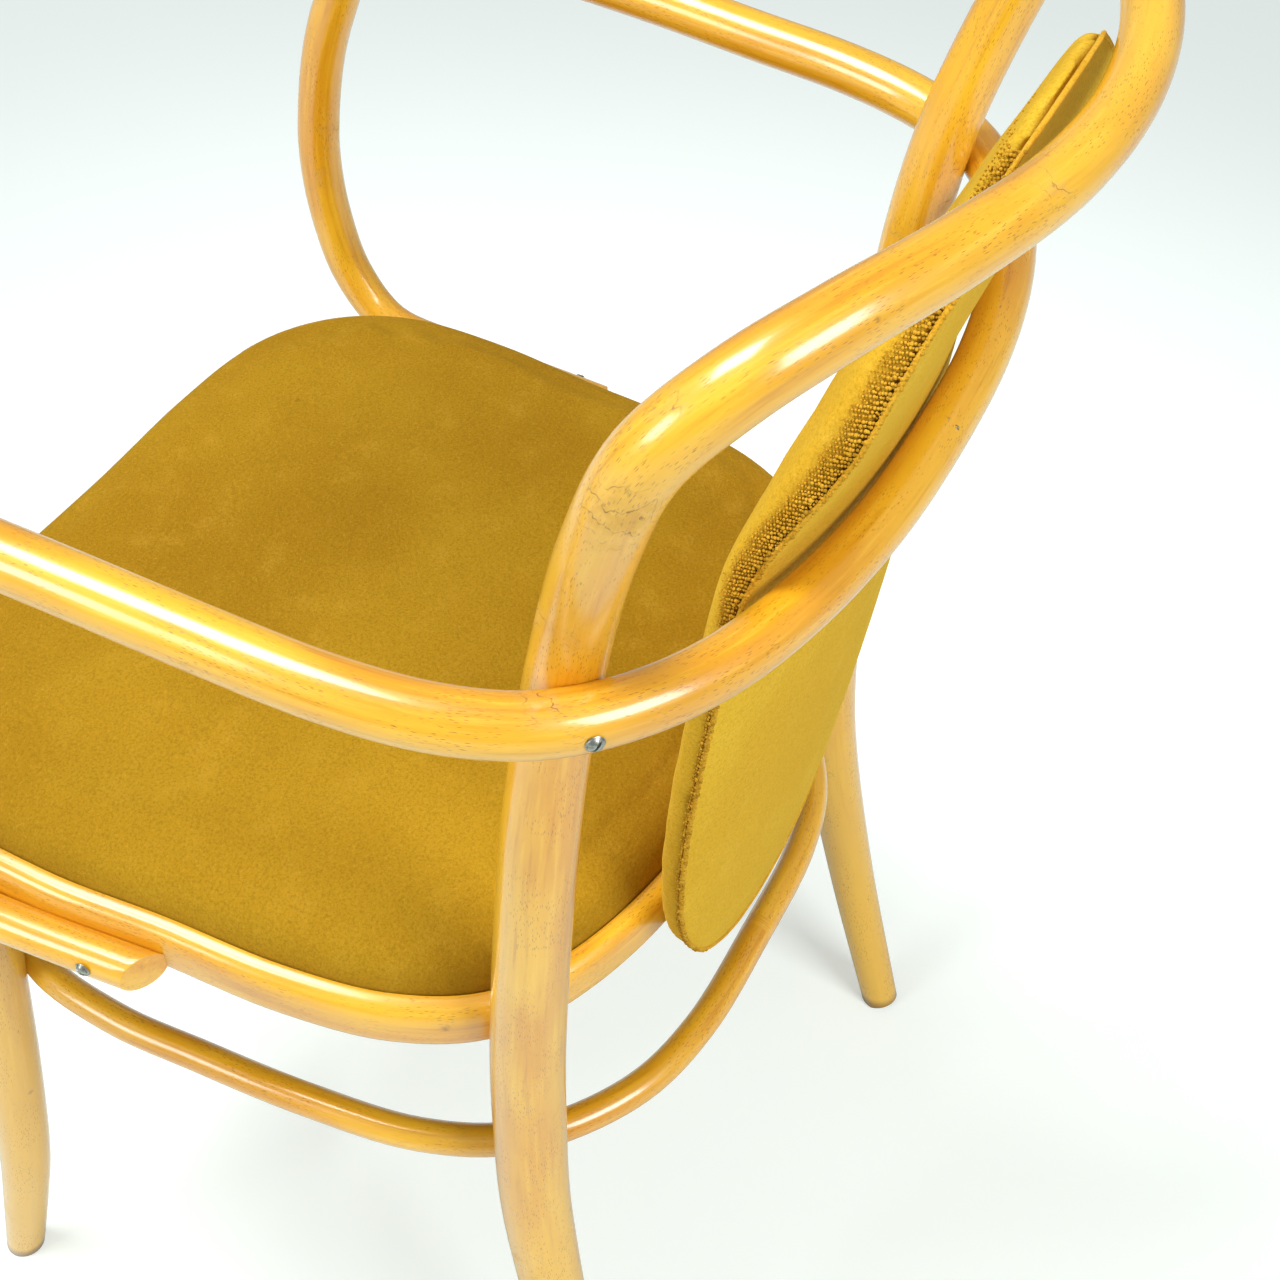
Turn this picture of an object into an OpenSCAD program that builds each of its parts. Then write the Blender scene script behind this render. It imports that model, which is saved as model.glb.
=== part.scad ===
// Bentwood armchair with an upholstered seat and a hanging oval back pad.
// Millimetres, +Z up, the sitter faces -Y, the chair is even about X = 0.

/* [Back bow] */
// Height of the hoop's crest above the armrests, between the middles of the rods
hoop_rise = 162; // [130:1:190]
// How far inside the seat ring's widest place the hoop's shoulders stand
bow_in = 25; // [15:1:40]
// How far the hoop's crest lies behind the seat ring, to the middle of the rod
bow_behind = 133; // [110:1:150]
// Thickness of the bow at its stoutest, just below the seat
bow_d = 38; // [32:1:42]

/* [Arm bow] */
// Height of the armrests over the seat ring's top, to the middle of the rod
arm_rise = 277; // [250:1:295]
// How far outside the seat ring's widest place the armrests stand
arm_out = 23; // [20:0.5:27]
// How far the bow passes behind the seat ring, to the middle of the rod
arm_behind = 77; // [68:1:84]
// How far behind the seat ring's front the rising front of the bow stays
arm_front_in = 7; // [0:1:20]
// How far the middle of the bow's ends lies below the seat ring's top
arm_end_drop = 22; // [15:1:26]
// Thickness of the armrest
arm_d = 28; // [25:1:31]
// How far back the rod ends run along the seat ring
arm_end_back = 26; // [10:1:40]

/* [Seat ring] */
// Height of the ring's top above the floor, under the seat's middle
seat_h = 445; // [430:1:460]
// Half width of the ring over its outside
seat_half_w = 247; // [230:1:260]
// Reach of the ring behind the seat's middle
seat_back = 245; // [230:1:255]
// Reach of the ring before the seat's middle
seat_front = 204; // [190:1:220]
// Backward slope of the seat, in degrees
seat_tilt = 2.8; // [0:0.1:4]
// Width of the ring's wood, seen from above
ring_w = 38; // [32:1:44]
// Depth of the ring's wood
ring_t = 29; // [25:1:34]
// Width of the bare wooden lip round the pad
ring_lip = 11; // [8:0.5:14]
// Depth of the rabbet that the pad lies in
rabbet_t = 9; // [6:0.5:12]

/* [Leg ring] */
// How far the middle of the leg ring lies below the seat ring's top
brace_drop = 157; // [135:1:190]
// How far inside the seat ring's widest place the leg ring runs at its sides
brace_in = 34; // [28:1:38]
// How far the leg ring reaches behind the seat ring, to the middle of the rod
brace_behind = 5; // [0:1:12]
// How far the leg ring stays behind the seat ring's front
brace_front_in = 14; // [8:1:24]
// Thickness of the leg ring's rod
brace_d = 18; // [16:1:24]

/* [Front legs] */
// How far inside the seat ring's widest place the front feet stand
foot_in = 11; // [5:1:20]
// How far the front feet stand behind the seat ring's front
foot_front_in = 47; // [38:1:56]
// Thickness of a front leg under the seat ring
leg_d = 36; // [30:1:40]
// Thickness of the round tenon on a front leg
tenon_d = 18; // [14:1:22]
// Length of that tenon
tenon_l = 14; // [10:1:17]

/* [Seat pad] */
// Thickness of the plywood seat board
board_t = 8; // [6:1:10]
// How much the pad's middle crowns over its shoulders
seat_crown = 4; // [2:1:8]
// Height of the pad's round shoulders above the board
seat_edge = 28; // [22:1:32]
// Thickness of the velvet
velvet_t = 1.8; // [1:0.1:2.5]
// Thickness of the cloth under the seat
base_cloth_t = 0.8; // [0.5:0.1:1.5]

/* [Back pad] */
// How far the pad hangs below the seat ring's top
pad_drop = 96; // [75:1:115]
// How far the pad reaches over the middle of the hoop's crest
pad_rise = 9; // [2:1:10]
// How far inside the middle of the hoop's shoulders the pad's sides stay
pad_in = 81; // [70:1:95]
// How much the pad's sides curve forward round the sitter, below the arm bow
pad_wrap = 14; // [8:1:20]
// How much they still curve forward above the arm bow
pad_wrap_top = 0; // [0:1:8]
// Thickness of the padding before the seam
pad_front_t = 20.5; // [15:0.5:28]
// Thickness of the padding before the seam, at the pad's thinner top
pad_front_top_t = 13; // [10:0.5:20]
// Thickness of the padding behind the seam
pad_rear_t = 7; // [5:1:10]
// Thickness of the bent back board
back_board_t = 7; // [5:1:9]
// Thickness of the tufted pile ridge along the seam
seam_d = 6; // [4:0.5:9]

/* [Screws] */
// Thickness of a screw's shank
screw_d = 4; // [3:0.5:5]
// Width of a screw's domed head
screw_head_d = 8.4; // [6:0.2:10]
// Width of the small sunk heads that hold the back pad
small_head_d = 5.2; // [4:0.2:6]
// Height of a screw's domed head
screw_head_t = 2.6; // [2:0.1:4]
// Width of the slot across a head
slot_w = 1.1; // [0.8:0.1:1.5]
// Depth of that slot
slot_t = 1.2; // [0.8:0.1:1.8]
// How deep the long screws reach into the second piece
screw_bite = 17; // [12:1:20]

/* [Hidden] */
// Heights above the floor, to the middles of the rods and to the pad's edges
arm_h = seat_h + arm_rise;
bow_h = arm_h + hoop_rise;
arm_end_h = seat_h - arm_end_drop;
brace_h = seat_h - brace_drop;
pad_low = seat_h - pad_drop;
pad_top = bow_h + pad_rise;
// Half widths, and reaches behind and before the seat's middle
bow_half_w = seat_half_w - bow_in;
bow_back = seat_back + bow_behind;
pad_half_w = bow_half_w - pad_in;
arm_half_w = seat_half_w + arm_out;
arm_back = seat_back + arm_behind;
arm_front = seat_front - arm_front_in;
brace_half_w = seat_half_w - brace_in;
brace_back = seat_back + brace_behind;
brace_front = seat_front - brace_front_in;
foot_half_w = seat_half_w - foot_in;
foot_front = seat_front - foot_front_in;
// Gap round a shank in its hole
screw_gap = 0.1;
// How far outside a head's underside its bed is cut
head_clear = 5;
// Space left in a hole before the point of its screw
point_gap = 2;
// Gaps where the back pad leans on the rail, on the arm bow and on the hoop
rail_touch = 0.6;
arm_touch = 1.2;
crest_touch = 3.9;
// Turn of the slanted cut at the arm bow's ends
arm_tip_turn = 28;
// Gap between two rods that are screwed together
wood_gap = 0.1;
// Gap round a tenon and over its end
tenon_gap = 0.1;
// Gap between the pad and the rabbet's wall
pad_gap = 0.6;
// How far cutting shapes run past what they cut
over = 2;
// Radius of the ring's upper outer edge
ring_round = 8;
// Radius of the ring's lower outer edge
ring_under = 5;
// Facets round a rod, round the thin rods and round a screw
rod_sides = 20;
arm_sides = 18;
thin_sides = 14;
screw_sides = 32;
bed_sides = 48;
$fn = screw_sides;

wood = [0.94, 0.70, 0.28];
pale_wood = [0.93, 0.78, 0.50];
velvet = [0.72, 0.54, 0.12];
steel = [0.72, 0.73, 0.72];

// Vectors and curves

function unit(v) = v / norm(v);
function xyz(p) = [p[0], p[1], p[2]];
function flip_x(p) = [for (i = [0:len(p) - 1]) i == 0 ? -p[i] : p[i]];
function reverse(list) = [for (i = [len(list) - 1:-1:0]) list[i]];

// A smooth step between b and c, with a and d as the points beyond them
function spline_point(a, b, c, d, t) = 0.5 * (2 * b + (c - a) * t
    + (2 * a - 5 * b + 4 * c - d) * t * t + (3 * b - a - 3 * c + d) * t * t * t);

// A smooth open curve through all points, n steps between each two
function spline(p, n) = let (last = len(p) - 1) concat(
    [for (i = [0:last - 1], k = [0:n - 1])
        spline_point(i > 0 ? p[i - 1] : 2 * p[0] - p[1], p[i], p[i + 1],
            i < last - 1 ? p[i + 2] : 2 * p[last] - p[last - 1], k / n)],
    [p[last]]);

// A smooth closed curve through all points
function ring_spline(p, n) = let (m = len(p))
    [for (i = [0:m - 1], k = [0:n - 1])
        spline_point(p[(i + m - 1) % m], p[i], p[(i + 1) % m], p[(i + 2) % m], k / n)];

// Half a bow mirrored into a whole one; its first or last point lies on X = 0
function whole_from_end(half) =
    concat(half, [for (i = [len(half) - 2:-1:0]) flip_x(half[i])]);
function whole_from_start(half) =
    concat([for (i = [len(half) - 1:-1:1]) flip_x(half[i])], half);

// Half a closed ring, both ends on X = 0, mirrored into a whole one
function whole_ring(half) =
    concat(half, [for (i = [len(half) - 2:-1:1]) flip_x(half[i])]);

function tangents(p, closed) = let (m = len(p)) [for (i = [0:m - 1]) unit(
    xyz(p[closed ? (i + 1) % m : min(i + 1, m - 1)])
    - xyz(p[closed ? (i + m - 1) % m : max(i - 1, 0)]))];

function squared(s, t) = unit(s - (s * t) * t);

// Side vectors that turn as little as possible along the curve
function side_vectors(t, first) =
    [for (i = 0, s = squared(first, t[0]); i < len(t);
        i = i + 1, s = squared(s, t[min(i, len(t) - 1)])) s];

// Rings of points round a rod whose path gives [x, y, z, thickness]
function rod_rings(path, first, closed, sides) =
    let (t = tangents(path, closed), s = side_vectors(t, first))
    [for (i = [0:len(path) - 1]) let (b = cross(t[i], s[i]))
        [for (k = [0:sides - 1]) let (a = 360 * k / sides)
            xyz(path[i]) + (cos(a) * s[i] + sin(a) * b) * path[i][3] / 2]];

// A ring of points pushed along t until it lies on the plane through at
function cut_ring(ring, t, at, normal) =
    [for (p = ring) p - t * ((p - at) * normal) / (t * normal)];

function ring_faces(i, j, m, turned) = [for (k = [0:m - 1]) let (k2 = (k + 1) % m)
    each turned
        ? [[i * m + k, j * m + k, i * m + k2], [i * m + k2, j * m + k, j * m + k2]]
        : [[i * m + k, j * m + k, j * m + k2], [i * m + k, j * m + k2, i * m + k2]]];

// A closed skin over rings of points. From ring number turn on, the diagonals
// run the other way, so that two skins that touch have the same facets.
module skin(rings, closed = false, turn = -1) {
    m = len(rings[0]);
    n = len(rings);
    walls = [for (i = [0:n - (closed ? 1 : 2)])
        each ring_faces(i, (i + 1) % n, m, turn >= 0 && i >= turn)];
    ends = closed ? [] : concat(
        [for (k = [1:m - 2]) [0, k, k + 1]],
        [for (k = [1:m - 2]) [(n - 1) * m, (n - 1) * m + k + 1, (n - 1) * m + k]]);
    polyhedron(points = [for (r = rings) each r], faces = concat(walls, ends));
}

// Stands what follows at a point with its Z along a direction
module along(at, dir) {
    translate(at)
        rotate([0, acos(unit(dir)[2]), atan2(dir[1], dir[0])])
            children();
}

module both_sides() {
    children();
    mirror([1, 0, 0])
        children();
}

// The point of a path at a height, and the path's direction there
function at_height(path, z) = let (
    i = [for (k = [0:len(path) - 2]) if (path[k][2] <= z && path[k + 1][2] > z) k][0],
    t = (z - path[i][2]) / (path[i + 1][2] - path[i][2]))
    path[i] + (path[i + 1] - path[i]) * t;
function dir_at_height(path, z) = let (
    i = [for (k = [0:len(path) - 2]) if (path[k][2] <= z && path[k + 1][2] > z) k][0])
    unit(xyz(path[i + 1]) - xyz(path[i]));

// The point of a path that lies nearest to a given point
function nearest(path, q) = let (d = [for (p = path) norm(xyz(p) - xyz(q))])
    path[[for (i = [0:len(d) - 1]) if (d[i] == min(d)) i][0]];

// Back bow: shares of the half width, the reach behind, the height and the thickness
back_bow_shares = [
    [0.87, 0.733, 0, 0.66], [0.923, 0.632, 0.136, 0.82], [0.905, 0.569, 0.283, 0.97],
    [0.897, 0.557, 0.396, 1], [0.913, 0.568, 0.501, 0.98], [0.941, 0.598, 0.64, 0.935],
    [0.932, 0.619, 0.735, 0.895], [0.94, 0.652, 0.82, 0.845], [0.985, 0.7, 0.894, 0.82],
    [1, 0.75, 0.948, 0.8], [0.925, 0.815, 0.981, 0.78], [0.766, 0.877, 0.9955, 0.75],
    [0.54, 0.937, 1, 0.72], [0.27, 0.984, 1, 0.69], [0, 1, 1, 0.67]];
back_bow_half = [for (s = back_bow_shares)
    [s[0] * bow_half_w, s[1] * bow_back, s[2] * bow_h, s[3] * bow_d]];
back_bow_path = spline(whole_from_end(back_bow_half), 3);

// Arm bow, from its middle behind the pad to its end beside the seat:
// shares of the half width, of the reach behind or before, of the height
// between the ends and the armrests, and of the thickness
arm_bow_shares = [
    [0, 1, 0.915, 0.9], [0.23, 0.994, 0.917, 0.9], [0.444, 0.968, 0.919, 0.92],
    [0.64, 0.92, 0.922, 0.94], [0.785, 0.852, 0.928, 0.96], [0.889, 0.764, 0.935, 0.98],
    [0.95, 0.652, 0.944, 1], [0.98, 0.512, 0.956, 1], [0.989, 0.342, 0.969, 1],
    [0.996, 0.155, 0.986, 1], [1, -0.05, 0.997, 1], [1, -0.41, 1, 1],
    [1, -0.64, 0.968, 1], [0.997, -0.81, 0.893, 0.99], [0.996, -0.895, 0.775, 0.98],
    [0.995, -0.953, 0.655, 0.97], [0.993, -0.99, 0.52, 0.965], [0.987, -1, 0.4, 0.96],
    [0.981, -0.975, 0.26, 0.955], [0.973, -0.9, 0.115, 0.94], [0.962, -0.745, 0.015, 0.9],
    [0.956, -0.5, 0, 0.84], [0.95, -0.25, 0, 0.8], [0.94, -0.02, 0, 0.8]];
arm_tip_shares = [0.929, 0.8];
arm_bow_half = concat(
    [for (s = arm_bow_shares) [s[0] * arm_half_w,
        s[1] * (s[1] > 0 ? arm_back : arm_front),
        arm_end_h + s[2] * (arm_h - arm_end_h), s[3] * arm_d]],
    [[arm_tip_shares[0] * arm_half_w, arm_end_back + arm_d / 2, arm_end_h,
        arm_tip_shares[1] * arm_d]]);
arm_bow_path = spline(whole_from_start(arm_bow_half), 2);

// Outline of the seat ring: shares of the half width and of the reach behind or before
seat_outline_shares = [
    [0, 1], [0.324, 0.988], [0.6, 0.922], [0.804, 0.806], [0.917, 0.618], [0.966, 0.376],
    [0.98, 0.102], [1, -0.22], [0.976, -0.549], [0.858, -0.8], [0.648, -0.956],
    [0.344, -1], [0, -0.995]];
function seat_outline(n) = ring_spline(whole_ring([for (s = seat_outline_shares)
    [s[0] * seat_half_w, s[1] * (s[1] > 0 ? seat_back : seat_front), 0]]), n);

// A flat closed outline moved inward
function inset(p, d) = let (t = tangents(p, true))
    [for (i = [0:len(p) - 1]) p[i] + d * [-t[i][1], t[i][0], 0] * outline_turn];
// The outlines run clockwise seen from above, so inward is to the right
outline_turn = -1;

// Leg ring, as shares of the half width and of the reach behind or before
brace_shares = [
    [0, 1], [0.338, 0.992], [0.6, 0.93], [0.828, 0.776], [0.943, 0.568], [0.984, 0.3],
    [0.997, 0.03], [1, -0.263], [0.95, -0.568], [0.798, -0.8], [0.554, -0.937],
    [0.282, -0.984], [0, -1]];
brace_path = ring_spline(whole_ring([for (s = brace_shares) [s[0] * brace_half_w,
    s[1] * (s[1] > 0 ? brace_back : brace_front), brace_h, brace_d]]), 3);

// Front leg: shares of the foot's place, of the height under the ring and of the thickness
front_leg_shares = [
    [1, 1, 0, 0.66], [0.987, 0.93, 0.14, 0.77], [0.973, 0.873, 0.275, 0.85],
    [0.955, 0.828, 0.475, 0.9], [0.936, 0.8, 0.68, 0.94], [0.917, 0.783, 0.84, 0.97],
    [0.902, 0.77, 1, 1]];
leg_top_h = seat_h - ring_t - tan(seat_tilt) * (front_leg_shares[6][1] * -foot_front);
front_leg_path = spline([for (s = front_leg_shares)
    [s[0] * foot_half_w, -s[1] * foot_front, s[2] * leg_top_h, s[3] * leg_d]], 3);

// The seat ring and the pad on it are drawn level, with the ring's top at zero
module on_seat() {
    translate([0, 0, seat_h])
        rotate([-seat_tilt, 0, 0])
            children();
}
function on_seat_point(p) = [p[0], p[1] * cos(seat_tilt) + p[2] * sin(seat_tilt),
    seat_h - p[1] * sin(seat_tilt) + p[2] * cos(seat_tilt)];

// The whole chair is moved so that its depth is even about Y = 0
y_back = max([for (p = back_bow_path) p[1] + p[3] / 2]);
y_front = min([for (p = arm_bow_path) p[1] - p[3] / 2]);
module in_frame() {
    translate([0, -(y_back + y_front) / 2, 0])
        children();
}

// Where the pieces meet

upright = [for (p = back_bow_path) if (p[0] > 0 && p[2] < (arm_h + bow_h) / 2) p];
arm_side = [for (p = arm_bow_path) if (p[0] > 0 && p[1] > 0 && p[2] > seat_h) p];
cross_h_share = 0.93;
cross_post = at_height(upright, arm_end_h + cross_h_share * (arm_h - arm_end_h));
cross_arm = nearest(arm_side, cross_post);
cross_dir = unit([cross_post[0] - cross_arm[0], cross_post[1] - cross_arm[1], 0]);
post_screw_head = xyz(cross_arm) - cross_dir * cross_arm[3] / 2;
post_screw_l = arm_d + screw_bite;

// The screw through each end of the arm bow into the seat ring
arm_screw_rise = 2;
arm_low = [for (p = arm_bow_path) if (p[0] > 0 && p[2] < seat_h) p];
arm_screw_by = nearest(arm_low, [arm_half_w, 0, arm_end_h]);
arm_screw_head = [arm_screw_by[0] + arm_screw_by[3] / 2, arm_screw_by[1],
    arm_end_h + arm_screw_rise];
arm_screw_l = arm_d + screw_bite;

// The screw through the seat ring into each rear leg, under the seat board
ring_screw_h = -(rabbet_t + ring_t) / 2;
ring_post = at_height(upright, on_seat_point([0, back_bow_shares[3][1] * bow_back,
    ring_screw_h])[2]);
ring_mid = nearest(inset(seat_outline(3), ring_w / 2), [ring_post[0], ring_post[1], 0]);
ring_screw_dir = unit([ring_post[0] - ring_mid[0], ring_post[1] - ring_mid[1], 0]);
ring_screw_at = on_seat_point([ring_mid[0] - ring_screw_dir[0] * ring_w / 2,
    ring_mid[1] - ring_screw_dir[1] * ring_w / 2, ring_screw_h]);
ring_screw_l = ring_w + screw_bite;

// The screws through the leg ring into the legs
brace_post = at_height(upright, brace_h);
brace_near_post = nearest(brace_path, brace_post);
brace_post_dir = unit(xyz(brace_post) - xyz(brace_near_post));
brace_post_screw_at = xyz(brace_near_post) - brace_post_dir * brace_d / 2;
brace_leg = at_height(front_leg_path, brace_h);
brace_near_leg = nearest(brace_path, brace_leg);
brace_leg_dir = unit(xyz(brace_leg) - xyz(brace_near_leg));
brace_leg_screw_at = xyz(brace_near_leg) - brace_leg_dir * brace_d / 2;
brace_screw_l = brace_d + screw_bite;

// The seat board's screws stand on the middle of the rabbet's floor
seat_screw_shares = [[0.4, 0.95], [0.84, -0.8]];
seat_screw_points = [for (s = seat_screw_shares)
    nearest(inset(seat_outline(3), (ring_lip + ring_w) / 2),
        [s[0] * seat_half_w, s[1] * (s[1] > 0 ? seat_back : seat_front), 0])];

// A round rod's bed: the rod's own cylinder at one place on its path,
// with its length as a share of the rod's thickness
bed_length_share = 3;
module rod_bed(path, z, grow) {
    p = at_height(path, z);
    h = bed_length_share * p[3];
    along(xyz(p), dir_at_height(path, z))
        translate([0, 0, -h / 2])
            cylinder(d = p[3] + grow, h = h, $fn = bed_sides);
}

// A hole for a screw, with a shallow bed outside it for the head
module hole(at, dir, length, head_d = screw_head_d) {
    along(at, dir) {
        cylinder(d = screw_d + screw_gap, h = length + point_gap);
        translate([0, 0, -head_clear])
            cylinder(d = head_d + 2 * screw_gap, h = head_clear);
    }
}

// A screw with its head's underside at a point and its shank along a direction
module slotted_screw(at, dir, length, head_d = screw_head_d) {
    head_t = screw_head_t * head_d / screw_head_d;
    ball = (head_d * head_d / 4 + head_t * head_t) / (2 * head_t);
    along(at, dir) {
        cylinder(d = screw_d, h = length);
        difference() {
            intersection() {
                translate([0, 0, ball - head_t])
                    sphere(r = ball);
                translate([0, 0, -head_t])
                    cylinder(d = head_d, h = head_t);
            }
            translate([-head_d / 2, -slot_w / 2, -head_t])
                cube([head_d, slot_w, slot_t]);
        }
    }
}

// Wooden frame

module back_bow() {
    rings = rod_rings(back_bow_path, [0, 1, 0], false, rod_sides);
    t = tangents(back_bow_path, false);
    n = len(rings) - 1;
    flat = [for (i = [0:n]) i == 0 || i == n
        ? cut_ring(rings[i], t[i], [0, 0, 0], [0, 0, 1]) : rings[i]];
    color(wood)
        difference() {
            skin(flat);
            both_sides() {
                hole(post_screw_head, cross_dir, post_screw_l);
                hole(ring_screw_at, ring_screw_dir, ring_screw_l);
                hole(brace_post_screw_at, brace_post_dir, brace_screw_l);
            }
        }
}

module front_leg() {
    rings = rod_rings(front_leg_path, [1, 0, 0], false, thin_sides);
    t = tangents(front_leg_path, false);
    n = len(rings) - 1;
    top = on_seat_point([0, 0, -ring_t]);
    up = [0, sin(seat_tilt), cos(seat_tilt)];
    shaped = [for (i = [0:n])
        i == 0 ? cut_ring(rings[i], t[i], [0, 0, 0], [0, 0, 1])
        : i == n ? cut_ring(rings[i], t[i], top, up) : rings[i]];
    color(pale_wood)
        difference() {
            union() {
                skin(shaped);
                on_seat()
                    translate([tenon_at[0], tenon_at[1], -ring_t - tenon_l])
                        cylinder(d = tenon_d, h = 2 * tenon_l);
            }
            hole(brace_leg_screw_at, brace_leg_dir, brace_screw_l);
        }
}
tenon_at = [front_leg_path[len(front_leg_path) - 1][0],
    front_leg_path[len(front_leg_path) - 1][1] / cos(seat_tilt)];

// Section of the seat ring: outward and up from the middle of its top edge
function ring_section() = let (u = ring_w / 2, r = ring_round, q = ring_under) concat(
    [[-u, -rabbet_t], [-u, -ring_t]],
    [for (a = [-90:45:0]) [u - q + q * cos(a), q - ring_t + q * sin(a)]],
    [for (a = [0:30:90]) [u - r + r * cos(a), -r + r * sin(a)]],
    [[u - ring_lip, 0], [u - ring_lip, -rabbet_t]]);

module seat_ring() {
    line = inset(seat_outline(3), ring_w / 2);
    t = tangents(line, true);
    rings = [for (i = [0:len(line) - 1])
        [for (s = ring_section()) line[i] + s[0] * [t[i][1], -t[i][0], 0] * outline_turn
            + [0, 0, s[1]]]];
    color(wood)
        difference() {
            on_seat()
                skin(rings, closed = true);
            both_sides() {
                rod_bed(upright, ring_post[2], wood_gap * 2);
                on_seat()
                    translate([tenon_at[0], tenon_at[1], -ring_t - over])
                        cylinder(d = tenon_d + 2 * tenon_gap,
                            h = tenon_l + tenon_gap + over);
                hole(arm_screw_head, [-1, 0, 0], arm_screw_l);
                hole(ring_screw_at, ring_screw_dir, ring_screw_l);
                seat_screw_places()
                    translate([0, 0, -ring_t - over])
                        cylinder(d = screw_d + screw_gap, h = ring_t + over);
            }
            hole(rail_screw_at, pad_out, rail_screw_l);
        }
}

module leg_ring() {
    color(wood)
        difference() {
            skin(rod_rings(brace_path, [0, 0, 1], true, thin_sides), closed = true);
            both_sides() {
                rod_bed(upright, brace_h, wood_gap * 2);
                rod_bed(front_leg_path, brace_h, wood_gap * 2);
                hole(brace_post_screw_at, brace_post_dir, brace_screw_l);
                hole(brace_leg_screw_at, brace_leg_dir, brace_screw_l);
            }
        }
}

// The rod ends are cut aslant, and their inner sides lie flat on the seat ring
module arm_bow() {
    color(wood)
        difference() {
            skin(rod_rings(arm_bow_path, [0, 0, 1], false, arm_sides));
            both_sides() {
                rod_bed(upright, cross_post[2], wood_gap * 2);
                hole(arm_screw_head, [-1, 0, 0], arm_screw_l);
                hole(post_screw_head, cross_dir, post_screw_l);
                translate([seat_half_w, arm_end_back, arm_end_h])
                    rotate([0, 0, -arm_tip_turn])
                        translate([-2 * arm_d, 0, -arm_d])
                            cube([4 * arm_d, arm_d, 2 * arm_d]);
            }
            on_seat()
                translate([0, 0, -ring_t - over])
                    linear_extrude(height = ring_t + 2 * over)
                        polygon([for (p = inset(seat_outline(3), -wood_gap)) [p[0], p[1]]]);
            hole(pin_at, pin_dir, pin_l, small_head_d);
        }
}

// Screws

module seat_screw_places() {
    on_seat()
        for (p = seat_screw_points)
            translate([p[0], p[1], 0])
                children();
}

module arm_upright_screws() {
    color(steel)
        both_sides()
            slotted_screw(post_screw_head, cross_dir, post_screw_l);
}

module arm_front_screws() {
    color(steel)
        both_sides()
            slotted_screw(arm_screw_head, [-1, 0, 0], arm_screw_l);
}

module rear_leg_screws() {
    color(steel)
        both_sides()
            slotted_screw(ring_screw_at, ring_screw_dir, ring_screw_l);
}

module leg_ring_screws() {
    color(steel)
        both_sides() {
            slotted_screw(brace_post_screw_at, brace_post_dir, brace_screw_l);
            slotted_screw(brace_leg_screw_at, brace_leg_dir, brace_screw_l);
        }
}

module seat_board_screws() {
    color(steel)
        both_sides()
            seat_screw_places()
                slotted_screw([0, 0, -ring_t], [0, 0, 1], ring_t - rabbet_t + board_t / 2);
}

// Pads

// Shares of the way from the middle of a pad to its edge
rim_shares = [0.08, 0.45, 0.72, 0.88, 0.96, 1];
rim_count = len(rim_shares);

// Height share of a domed pad at a share of the way out: the flatter the middle
// and the sharper the rim, the higher the two powers
dome_power = 3;
function dome(s, sharp, power = dome_power) = pow(max(0, 1 - pow(s, power)), 1 / sharp);

// Seat pad, drawn level over the rabbet's floor
seat_sharp = 2;
seat_roll_power = 24;
seat_shares = [0.08, 0.5, 0.82, 0.92, 0.975, 1];
crown_power = 2.4;
function seat_edge_line(d) = inset(seat_outline(2), ring_lip + pad_gap + d);
function seat_pad_ring(line, s, z) = [for (p = line) [p[0] * s, p[1] * s, z]];
function seat_top(s, d) = board_t - rabbet_t
    + (seat_edge + seat_crown * (1 - pow(s, crown_power)))
    * dome(s, seat_sharp, seat_roll_power) - d;

module seat_board() {
    color(pale_wood)
        on_seat()
            difference() {
                translate([0, 0, -rabbet_t])
                    linear_extrude(height = board_t)
                        polygon([for (p = seat_edge_line(velvet_t)) [p[0], p[1]]]);
                both_sides()
                    for (p = seat_screw_points)
                        translate([p[0], p[1], -rabbet_t - over])
                            cylinder(d = screw_d + screw_gap,
                                h = over + board_t / 2 + screw_gap);
            }
}

module seat_foam() {
    line = seat_edge_line(velvet_t);
    low = board_t - rabbet_t;
    color(velvet)
        on_seat()
            skin(concat([for (s = seat_shares) if (s < 1)
                    seat_pad_ring(line, s, max(low, seat_top(s, velvet_t)))],
                [seat_pad_ring(line, 1, low)]));
}

// Velvet over the foam and down the board's edge
module seat_cover() {
    outer = seat_edge_line(0);
    inner = seat_edge_line(velvet_t);
    low = board_t - rabbet_t;
    color(velvet)
        on_seat()
            skin(concat(
                [for (s = seat_shares) if (s < 1)
                    seat_pad_ring(outer, s, seat_top(s, 0))],
                [seat_pad_ring(outer, 1, low), seat_pad_ring(outer, 1, -rabbet_t),
                    seat_pad_ring(inner, 1, -rabbet_t), seat_pad_ring(inner, 1, low)],
                [for (s = reverse(seat_shares)) if (s < 1)
                    seat_pad_ring(inner, s, max(low, seat_top(s, velvet_t)))]),
                turn = len(seat_shares));
}

module seat_base_cloth() {
    color([0.2, 0.2, 0.2])
        on_seat()
            translate([0, 0, -rabbet_t - base_cloth_t])
                linear_extrude(height = base_cloth_t)
                    polygon([for (p = inset(seat_outline(2), ring_w + pad_gap)) [p[0], p[1]]]);
}

// Back pad: a long oval that leans with the hoop and wraps round the sitter.
// Its middle surface carries the seam; t is the distance in front of it.
pad_sides = 36;
pad_power = 2.6;
pad_mid = (pad_low + pad_top) / 2;
pad_half_h = (pad_top - pad_low) / 2;
function round_power(c) = sign(c) * pow(abs(c), 2 / pad_power);

front_sharp = 6;
front_power = 5;
rear_sharp = 1.3;
// Tufts round the seam and how far each stands out
tuft_count = 48;
tuft_share = 0.16;
tuft_sides = 5;
// How far the bent board's edge stays inside the seam
board_rim = 12;

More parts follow.
